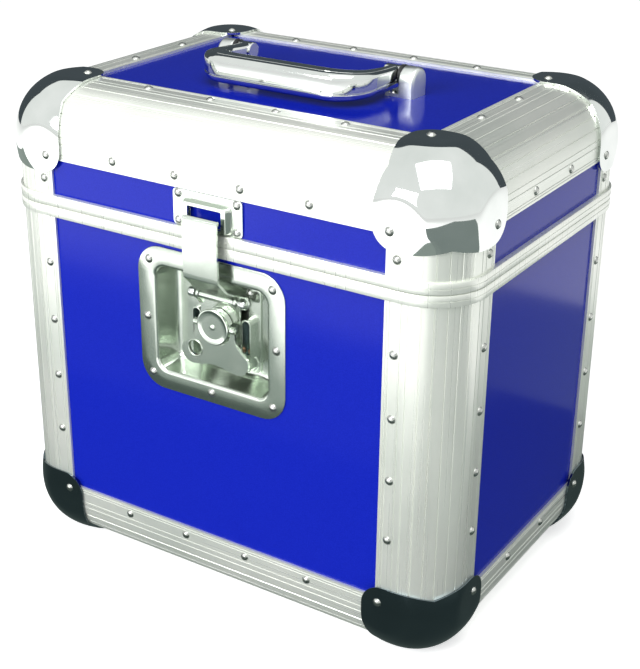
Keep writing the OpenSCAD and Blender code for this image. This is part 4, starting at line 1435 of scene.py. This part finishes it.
    def wing(self) -> Shell:
        """The thumb turn: a flat plate with a padlock hole, its eyelet, and two ears at the axis."""
        axis_y, half = float(node_box("latch_wing")[0][1]) + self.ear_r, 1.1
        hole = self.padlock_hole
        plate = pierced(self.wing_outline(), [circle(hole, self.padlock_r)], -axis_y - half, -axis_y + half)
        parts = [plate.placed(TURN_TO_FRONT, (0.0, 0.0, self.hub_z))]
        tilt = np.linspace(0.0, 2.0 * math.pi, 41)[:-1]
        roll = np.linspace(0.0, 2.0 * math.pi, 9)[:-1]
        bead = 0.55
        reach = self.padlock_r + 0.6 + bead * np.cos(roll)
        eyelet = np.stack([np.column_stack([hole[0] + reach * math.cos(a), axis_y - half + bead * np.sin(roll),
                                            self.hub_z + hole[1] + reach * math.sin(a)]) for a in tilt])
        parts.append(tube(eyelet, closed_path=True))
        for side in (-1, 1):
            ear = extruded(circle((0.0, 0.0), self.ear_r, 24), self.ear_span[0] - 0.3, self.ear_span[1])
            parts.append(ear.placed(to_side(side), (0.0, axis_y, self.hub_z)))
        return joined(parts)

    def turned(self, profile: list[tuple[float, float]], place: tuple[float, float, float],
               steps: int = 44) -> Shell:
        """A turned piece whose axis points to the front.

        Args:
            profile: Radius against distance towards the front, from axis to axis.
            place: Where the axis' zero is.
            steps: Points round.
        Returns:
            The shell.
        """
        return lathed(np.array(profile), steps).placed(TURN_TO_FRONT, place)

    def hub(self) -> None:
        """Makes the barrel, the round cap with its turned-down rim, and the pins of the thumb turn."""
        low, high = node_box("latch_rotor")
        barrel_r, length = float(high[0]), float(high[1] - low[1])
        self.piece("hub_barrel", self.turned(
            [(0.0, 0.0), (barrel_r - 0.6, 0.0), (barrel_r, 0.6), (barrel_r, length - 2.6),
             (barrel_r - 0.7, length - 2.2), (barrel_r - 0.7, length - 1.6), (barrel_r, length - 1.2),
             (barrel_r, length), (0.0, length)], (0.0, float(high[1]), self.hub_z)),
            Body.ROTOR, ["latch_rotor"], edge=0.0, smooth=30.0)
        low, high = node_box("hub_cap")
        cap_r, back = float(high[0]), float(high[1])
        thick = back - float(low[1])
        face = thick - 0.6
        self.piece("hub_cap_pressing", self.turned(
            [(0.0, 0.0), (cap_r - 0.5, 0.0), (cap_r, 0.4), (cap_r, face - 0.9), (cap_r - 0.25, face - 0.3),
             (cap_r - 0.8, face), (cap_r - 1.2, face - 0.02), (cap_r - 1.7, face - 0.3),
             (cap_r - 5.0, face - 0.36), (2.2, face - 0.4), (2.1, face), (1.7, face + 0.35),
             (0.9, face + 0.55), (0.0, face + 0.6)],
            (0.0, back, self.hub_z)), Body.ROTOR, ["hub_cap"], edge=0.0, smooth=38.0)
        low, high = node_box("wing_pins")
        middle_y = float(low[1] + high[1]) / 2
        reach = float(high[0])
        pin = np.array([(0.0, 7.0), (1.2, 7.0), (1.2, reach - 0.8), (1.9, reach - 0.8), (1.9, reach - 0.4),
                        (1.2, reach), (0.0, reach)])
        self.piece("wing_pin_pair", joined(
            lathed(pin, 24).placed(to_side(side), (0.0, middle_y, self.hub_z)) for side in (-1, 1)),
            Body.ROTOR, ["wing_pins"], edge=0.0)

    def draw_gear(self) -> None:
        """Makes the sliding plate with its ears, the cross shaft with its knobs, and the bent arm."""
        low, high = node_box("drawbar")
        shaft_low, shaft_high = node_box("drawbar_shaft")
        shaft_y, shaft_z = (shaft_low[1:] + shaft_high[1:]) / 2
        back = float(high[1])
        plate = block((low[0], back - self.plate_t, low[2]), (high[0], back, shaft_z - 3.7))
        web = [(shaft_y - 3.4, shaft_z - 3.0), (back - 2.4, shaft_z - 7.9), (back, shaft_z - 7.9)]
        ear = np.concatenate([arc((shaft_y, shaft_z), 4.0, -40.0, 180.0, 20), web])
        ears = [extruded(ear, inner, inner + 2.0).placed(TURN_TO_SIDE)
                for inner in (-float(high[0]), float(high[0]) - 2.0)]
        self.piece("drawbar_plate", joined([plate, *ears]), Body.SLIDER, ["drawbar"])
        end = float(shaft_high[0])
        knob = [(0.0, 0.0), (2.0, 0.0), (2.0, end - 6.6), (2.6, end - 6.4), (3.7, end - 6.1),
                (4.0, end - 5.6), (4.0, end - 2.2), (3.7, end - 1.0), (2.9, end - 0.3), (1.6, end), (0.0, end)]
        self.piece("cross_shaft", joined(
            lathed(np.array(knob), 32).placed(to_side(side), (0.0, shaft_y, shaft_z)) for side in (-1, 1)),
            Body.SLIDER, ["drawbar_shaft"], finish=self.palette.casting, edge=0.0)
        self.piece("draw_arm", self.arm(float(shaft_y), float(shaft_z)), Body.HOOK, ["catch_hook"], edge=0.45)

    def arm(self, shaft_y: float, shaft_z: float) -> Shell:
        """The bent arm: a leg from the shaft, a straight plate and a tongue turned in at the top.

        Args:
            shaft_y: Depth of the shaft.
            shaft_z: Height of the shaft.
        Returns:
            The shell, a bent sheet and the eye around the shaft.
        """
        low, high = node_box("catch_hook")
        y, top = float(low[1]) + self.arm_t / 2, float(high[2])
        bend_z = shaft_z + shaft_y - y
        path = filleted([(shaft_y - 2.15, shaft_z + 2.15), (y + 0.7, bend_z), (y, (bend_z + top) / 2),
                         (y + 0.7, top + 0.6), (y + 4.0, top - 3.7)], 1.1)
        path = np.concatenate([path[:6], self.bowed(path[6], path[-7]), path[-7:]])
        half = float(high[0])
        sheet_part = extruded(sheet_outline(path, self.arm_t), -half, half).placed(TURN_TO_SIDE)
        tongue = (sheet_part.points[:, 1] > y + 1.2) & (sheet_part.points[:, 2] > top - 9.0)
        narrower = 1.2
        sheet_part.points[tongue, 0] *= 1.0 - narrower / half
        eye = circle((0.0, 0.0), 3.2, 28)
        loops = [np.column_stack([eye * share, np.full(len(eye), x)]) for share, x in
                 ((0.7, -half), (1.0, -half), (1.0, half), (0.7, half))]
        barrel = tube(np.stack(loops), closed_path=True).placed(TURN_TO_SIDE, (0.0, shaft_y, shaft_z))
        return joined([sheet_part, barrel])

    @staticmethod
    def bowed(start: np.ndarray, end: np.ndarray, rise: float = 0.6) -> np.ndarray:
        """Points of a slightly bowed line: the straight line moved out by rise * sin(pi s)."""
        s = np.linspace(0.0, 1.0, 15)[1:-1, None]
        return start + (end - start) * s - np.array([rise, 0.0]) * np.sin(math.pi * s)

    def keeper(self) -> Shell:
        """The keeper: a plate with an opening, and a raised staple whose cheeks lean out to the plate."""
        low, high = node_box("keeper_plate")
        middle = float(low[2] + high[2]) / 2
        back, front = float(high[1]), float(low[1])
        plate_y = back - self.plate_t
        bar_z = float(node_box("catch_hook")[1][2]) - self.bar_drop
        window_h = self.window[1]
        window_z = (bar_z + bar_z + window_h) / 2
        outer = rounded_outline(float(high[0] - low[0]), float(high[2] - low[2]), 3.0, 6)
        hole = rounded_outline(self.window[0] + 0.6, window_h + 1.2, 0.8, 6) + (0.0, window_z - middle)
        levels = [(outer, back), (outer, plate_y), (hole, plate_y), (hole, back)]
        plate = tube(np.stack([facing_loop(flat, y, middle) for flat, y in levels]), closed_path=True)
        lift = 0.4
        foot = rounded_outline(41.0, 19.6, 3.0, 6) + (0.0, lift)
        crown = rounded_outline(35.4, 18.0, 2.2, 6) + (0.0, lift)
        slot = rounded_outline(*self.window, 1.0, 6) + (0.0, lift)
        middle_z = window_z - lift
        rise = front - plate_y
        rows = [(foot, 0.0), (foot * 0.992, 0.12), (crown * (1.05, 1.03), 0.62), (crown * 1.01, 0.92),
                (crown, 1.0), (slot, 1.0), (slot, 1.0 - 1.2 / abs(rise)),
                (crown * 0.95, 1.0 - 1.25 / abs(rise)), (crown * (0.98, 0.96), 0.4), (foot * 0.94, 0.0)]
        staple = tube(np.stack([facing_loop(flat, plate_y + rise * share, middle_z) for flat, share in rows]),
                      closed_path=True)
        return joined([plate, staple])

    def build(self) -> None:
        """Makes the latch and its keeper."""
        self.piece("pressed_dish", self.dish(), Body.CASE, ["latch_dish"], edge=0.0, smooth=50.0)
        self.piece("floor_bracket", self.bracket(), Body.CASE, ["latch_frame", "guide_channels"])
        low, high = node_box("latch_frame")
        bed_y, bed_z = float(high[1]) - self.plate_t, float(low[2]) + self.guide_rise
        # The plates at the bottom of the guides take the chrome painted darker: painted shade inside the guide
        # slots.
        self.piece("guide_beds", joined(
            extruded(rounded_outline(self.guide[0] - 1.6, self.guide[1] - 1.6, 3.0, 6),
                     -bed_y - 0.2, -bed_y + 0.3)
            .placed(TURN_TO_FRONT, (side * self.channel_x, 0.0, bed_z)) for side in (-1, 1)),
            Body.CASE, finish=self.palette.painted_shade_chrome, edge=0.0)
        self.piece("guide_rivets", joined(
            self.turned([(0.0, 0.0), (2.1, 0.0), (2.1, 0.5), (1.7, 1.1), (0.9, 1.5), (0.0, 1.6)],
                        (side * self.channel_x, bed_y - 0.2, bed_z - 6.0), 20) for side in (-1, 1)),
            Body.CASE, finish=self.palette.copper, edge=0.0)
        self.hub()
        self.piece("thumb_turn", self.wing(), Body.WING, ["latch_wing"], edge=0.35)
        self.draw_gear()
        self.piece("keeper_pressing", self.keeper(), Body.LID, ["keeper_plate"], edge=0.25, smooth=35.0)


@dataclass
class Handle:
    """The fold-down handle: a broad cast bail on two riveted mounts.

    Attributes:
        palette: The finishes.
        corner: Radius of the bail's outer corners seen from above.
        grip: Depth of the grip from front to back.
        arm: Width of an arm.
        grip_h: Height of the grip's section, which shrinks along the arms.
        end_half: Half the height of an arm's end.
        bead_z: Height of the bead over the grip's lower edge.
        boss: Radius and width of the boss at the end of an arm.
        mount_in: Distance of an upright's inner face from the middle.
        mount_edge: Radius of an upright's rounded edges.
        foot: Distance of a foot's end from the middle, and the foot's thickness.
    """

    palette: Palette
    corner: float = 27.0
    grip: float = 19.0
    arm: float = 11.0
    grip_h: float = 20.0
    end_half: float = 6.0
    bead_z: float = 5.6
    boss: tuple[float, float] = (6.5, 12.4)
    mount_in: float = 72.4
    mount_edge: float = 2.2
    foot: tuple[float, float] = (62.0, 2.2)

    def bail(self) -> Shell:
        """The bail: a rounded section carried round a U.

        Seen from above its outer side is a U with round corners and its inner side a narrower one. The
        half height falls from the grip's to the boss's as h = h0 + (h1 - h0) (3 s^2 - 2 s^3), with s the
        share of the way along the arm.
        """
        low, high = node_box("handle_bail")
        half, front = float(high[0]) - 0.15, float(low[1])
        pivot_z = float(low[2] + high[2]) / 2
        tall = float(high[2] - low[2]) / 2
        outer_r, inner_r = self.corner, self.corner - self.arm * 0.55
        outer_x, inner_x = half - outer_r, half - self.arm - inner_r
        outer_y, inner_y = front + outer_r, front + self.grip + inner_r
        turn = np.radians(np.linspace(-90.0, 0.0, 15))
        outer = np.column_stack([outer_x + outer_r * np.cos(turn), outer_y + outer_r * np.sin(turn)])
        inner = np.column_stack([inner_x + inner_r * np.cos(turn), inner_y + inner_r * np.sin(turn)])
        share = np.linspace(0.0, 1.0, 12)[1:, None]
        outer = np.concatenate([[(0.0, front)], outer,
                                outer[-1] * (1 - share) + np.array([half, -1.0]) * share])
        inner = np.concatenate([[(0.0, front + self.grip)], inner,
                                inner[-1] * (1 - share) + np.array([half - self.arm, -1.0]) * share])
        steps = np.linalg.norm(np.diff((outer + inner) / 2, axis=0), axis=1)
        walk = np.concatenate([[0.0], np.cumsum(steps)])
        s = np.clip((walk - walk[1]) / (walk[-1] - walk[1]), 0.0, 1.0)
        height = tall + (self.end_half - tall) * (3 * s ** 2 - 2 * s ** 3)
        rows = []
        for out, inn, tall_here in zip(outer, inner, height):
            width = float(np.linalg.norm(out - inn))
            flat = self.section(width, 2 * float(tall_here))
            across = (out - inn) / width
            rows.append(np.column_stack([(out + inn) / 2 + flat[:, :1] * across, pivot_z + flat[:, 1]]))
        right = np.stack(rows)
        left = (right * (-1.0, 1.0, 1.0))[::-1][:-1]
        parts = [tube(np.concatenate([left, right]))]
        boss_r, start = self.boss[0], half - self.boss[1]
        boss = lathed(np.array([(0.0, start), (boss_r - 0.6, start), (boss_r, start + 0.6),
                                (boss_r, half - 0.5), (boss_r - 0.5, half), (0.0, half)]), 36)
        return joined(parts + [boss.placed(to_side(side), (0.0, 0.0, pivot_z)) for side in (-1, 1)])

    def section(self, width: float, tall: float) -> np.ndarray:
        """Section of the bail: a rounded rectangle with a fine groove on its front and one on its top.

        Args:
            width: Depth of the section.
            tall: Its height.
        Returns:
            The outline; the front is at its largest first coordinate.
        """
        share = tall / self.grip_h
        corners = rounded_outline(width, tall, 4.4 * share, 6)
        front, top = width / 2, tall / 2
        z = self.bead_z * share - top
        line = front - 6.5 * width / self.grip
        upper = [(line + 0.4, top), (line + 0.2, top - 0.45), (line - 0.2, top - 0.45), (line - 0.4, top)]
        lower = [(front, z - 0.7 * share), (front - 1.0, z - 0.3 * share), (front - 1.0, z + 0.5 * share),
                 (front, z + 0.9 * share)]
        return np.concatenate([corners[:6], upper, corners[6:], lower])

    def mount(self) -> Shell:
        """One upright: an arched block whose outer face is slightly domed, with a foot turned inwards.

        The arch is scaled and set in along its width: near a face at distance d the outline shrinks by
        r - sqrt(r^2 - (r - d)^2), a rounded edge of radius r.
        """
        low, high = node_box("handle_mounts")
        base, top = float(low[2]), float(high[2])
        depth = float(high[1] - low[1])
        half = depth / 2
        outer_x, inner_x = float(high[0]), self.mount_in
        heights = [base + (top - half - base) * share for share in (0.66, 0.33, 0.0)]
        arch = np.concatenate([arc((0.0, top - half), half, 0.0, 180.0, 21),
                               [(-half, z) for z in heights], [(half, z) for z in heights[::-1]]])
        middle = np.array([0.0, base])
        turn = np.linspace(0.0, math.pi / 2, 7)
        rounding = self.mount_edge * np.column_stack([1 - np.cos(turn), 1 - np.sin(turn)])
        rows = np.concatenate([(inner_x, 0.0) + rounding * 0.5, (outer_x, 0.0) + rounding[::-1] * (-1.0, 1.0)])
        loops = []
        for x, shrink in rows:
            scale = np.array([(half - shrink) / half, (top - base - shrink) / (top - base)])
            flat = middle + (arch - middle) * scale
            loops.append(np.column_stack([np.full(len(flat), x), flat]))
        upright = tube(np.stack(loops))
        foot_in, foot_t = self.foot
        foot = block((foot_in, -half + 0.4, base), (inner_x + 1.0, half - 0.4, base + foot_t))
        return joined([upright, foot])

    def build(self) -> None:
        """Makes the bail, the mounts, and the pins and washers between them."""
        bail = make_piece("bail_casting", self.bail(), self.palette.casting, Body.HANDLE,
                          ["handle_bail"], smooth=38.0)
        soften(bail, 0.25)
        mounts = joined(self.mount().placed(np.diag([float(side), 1.0, 1.0])) for side in (-1, 1))
        made = make_piece("handle_uprights", mounts, self.palette.satin, Body.LID,
                          ["handle_mounts"], smooth=38.0)
        soften(made, 0.3)
        dress("handle_pins", self.palette.casting)
        dress("handle_washers", self.palette.nylon)


@dataclass
class Hinges:
    """The two hinges on the back."""

    palette: Palette

    def build(self) -> None:
        """Dresses the leaves and pins."""
        for node in ("hinge_lower_leaves", "hinge_upper_leaves", "hinge_pins"):
            dress(node, self.palette.hinge)


Point = tuple[float, float, float]


def flat_sheet(name: str, corners: Iterable[Point], finish: bpy.types.Material) -> bpy.types.Object:
    """Makes an object of one quad.

    Args:
        name: Its name.
        corners: Its four corners in metres.
        finish: Its material.
    Returns:
        The object.
    """
    mesh = bpy.data.meshes.new(name)
    mesh.from_pydata(list(corners), [], [(0, 1, 2, 3)])
    mesh.materials.append(finish)
    return add_object(name, mesh)


def level_quad(x: tuple[float, float], y: tuple[float, float], z: float) -> list[Point]:
    """Corners of a level rectangle, turning left."""
    return [(x[0], y[0], z), (x[1], y[0], z), (x[1], y[1], z), (x[0], y[1], z)]


@dataclass
class Studio:
    """The camera, a pale floor and soft light.

    Attributes:
        eye: The camera's place in millimetres.
        right: Unit vector to the right in the picture.
        up: Unit vector up in the picture.
        focal_px: Focal length in pixels of the 640 by 669 picture.
    """

    eye: Point = (537.93, -845.06, 619.01)
    right: Point = (0.842836, 0.538060, 0.010893)
    up: Point = (-0.229518, 0.341069, 0.911589)
    focal_px: float = 1390.07
    picture_px: tuple[int, int] = (640, 669)
    sensor_mm: float = 36.0
    floor_half_m: float = 9.0
    ambient: float = 0.3
    paper_glow: float = 0.62

    def camera(self) -> None:
        """Sets the camera where the straight edges of the photograph put it.

        The sensor's longer side spans the picture's longer side, so the lens is the focal length in
        pixels times the sensor over that side.
        """
        lens = bpy.data.cameras.new("photo_camera")
        lens.sensor_fit = "AUTO"
        lens.sensor_width = self.sensor_mm
        lens.lens = self.focal_px * self.sensor_mm / max(self.picture_px)
        lens.clip_start = 0.01
        lens.clip_end = 50.0
        camera = add_object("photo_camera", lens)
        right, up = Vector(self.right), Vector(self.up)
        back = right.cross(up)
        turn = Matrix((right, up, back)).transposed().to_4x4()
        turn.translation = Vector(self.eye) * MM
        camera.matrix_world = turn
        bpy.context.scene.camera = camera

    def seen(self, tree: bpy.types.NodeTree, direct: float, scattered: float) -> bpy.types.NodeSocket:
        """A strength that is one value where the eye or a mirror meets it and another as soft light.

        Args:
            tree: The node tree.
            direct: Strength for camera, glossy and transmitted rays.
            scattered: Strength for all other rays.
        Returns:
            The strength's socket.
        """
        path = add_node(tree, "ShaderNodeLightPath")
        near = add_node(tree, "ShaderNodeMath",
                        {0: path.outputs["Is Camera Ray"], 1: path.outputs["Is Glossy Ray"]}, operation="ADD")
        both = add_node(tree, "ShaderNodeMath", {0: near.outputs[0], 1: path.outputs["Is Transmission Ray"]},
                        operation="ADD", use_clamp=True)
        return spread(tree, both.outputs[0], scattered, direct)

    def floor(self) -> None:
        """Lays a pale matt floor under the corner pads."""
        span = (-self.floor_half_m, self.floor_half_m)
        material, tree = new_material("studio_paper")
        paper = add_node(tree, "ShaderNodeBsdfDiffuse", {"Color": linear("#fdfdfd")})
        glow = add_node(tree, "ShaderNodeEmission", {"Color": linear("#ffffff"),
                                                     "Strength": self.seen(tree, self.paper_glow, 0.0)})
        both = add_node(tree, "ShaderNodeAddShader", {0: paper.outputs[0], 1: glow.outputs[0]})
        add_node(tree, "ShaderNodeOutputMaterial", {"Surface": both.outputs[0]})
        floor = flat_sheet("studio_floor", level_quad(span, span, 0.0), material)

    def sky_dome(self) -> None:
        """Surrounds the scene with white: bright to look at, and a weaker soft light on matt things."""
        world = bpy.data.worlds.new("studio_dome")
        bpy.context.scene.world = world
        world.use_nodes = True
        tree = world.node_tree
        tree.nodes.clear()
        light = add_node(tree, "ShaderNodeBackground", {"Color": linear("#fdfffe"),
                                                        "Strength": self.seen(tree, 1.0, self.ambient)})
        add_node(tree, "ShaderNodeOutputWorld", {"Surface": light.outputs["Background"]})

    def lamp(self, name: str, place: Point, aim: Point, size: tuple[float, float], power: float) -> None:
        """Hangs a soft rectangular lamp.

        Args:
            name: Its name.
            place: Its place in metres.
            aim: The point it looks at, in metres.
            size: Width and height in metres.
            power: Power in watts.
        """
        light = bpy.data.lights.new(name, "AREA")
        light.shape = "RECTANGLE"
        light.size, light.size_y = size
        light.energy = power
        holder = add_object(name, light)
        direction = Vector(aim) - Vector(place)
        holder.rotation_euler = direction.to_track_quat("-Z", "Y").to_euler()
        holder.location = place

    def card(self, name: str, corners: Iterable[Point], shade: str, strength: float = 1.0) -> None:
        """Puts a glowing sheet beside the set that only reflections see: a painted reflection of a studio flag
        or board, for bright metal to mirror.

        It casts no shadow, gives no bounce and isn't seen by the camera.

        Args:
            name: Its name.
            corners: Its four corners in metres.
            shade: Hex colour.
            strength: How brightly it glows.
        """
        material, tree = new_material(f"{name}_material")
        mirror_only_glow = add_node(tree, "ShaderNodeEmission", {"Color": linear(shade), "Strength": strength})
        add_node(tree, "ShaderNodeOutputMaterial", {"Surface": mirror_only_glow.outputs[0]})
        card = flat_sheet(name, corners, material)
        card.visible_camera = card.visible_diffuse = card.visible_shadow = False

    def build(self) -> None:
        """Makes the camera, the floor and the light."""
        view = bpy.context.scene.view_settings
        view.view_transform = "Standard"
        self.camera()
        self.floor()
        self.sky_dome()
        # Sheets that glow only in reflections: painted reflections of a dimmer room and table round the set,
        # grey where the floor is white to the camera.
        rear = [(-4.6, -0.2, 0.02), (1.9, 3.9, 0.02), (1.9, 3.9, 3.2), (-4.6, -0.2, 3.2)]
        self.card("rear_painted_reflection", rear, "#4a5257")
        self.card("table_painted_reflection", level_quad((-1.1, 0.48), (-0.6, 0.55), 0.001), "#98a49e")
        # A darker sheet round the case's foot, seen only in reflections: painted shadow of the case on the
        # table.
        self.card("case_shadow_painted_reflection", level_quad((-0.6, 0.36), (-0.37, 0.3), 0.0015), "#56625e")
        self.card("side_painted_reflection", level_quad((0.42, 2.4), (-1.3, 0.15), 0.001), "#87928f")
        # A bright glowing sheet at the left front, seen only in reflections: painted highlight in the chrome
        # and the gloss.
        self.card("bright_painted_highlight_sheet", level_quad((-1.5, -0.42), (-1.5, -0.66), 0.002), "#ffffff", 2.6)
        self.lamp("key_softbox", (-0.5, -2.2, 1.15), (0.0, 0.0, 0.2), (1.3, 1.0), 43.0)
        self.lamp("top_softbox", (0.5, -0.7, 2.0), (0.0, 0.0, 0.3), (1.6, 1.6), 24.0)


def main() -> None:
    """Builds the case piece by piece."""
    logging.basicConfig(level=logging.INFO, format="%(name)s: %(message)s")
    sizes = CaseSizes()
    palette = Palette()
    Studio().build()
    EdgeExtrusions(sizes, palette).build()
    BallCorners(sizes, palette).build()
    Rims(sizes, palette).build()
    Rivets(palette).build()
    Boards(palette).build()
    TwistLatch(palette).build()
    Handle(palette).build()
    Hinges(palette).build()


if __name__ == "__main__":
    main()
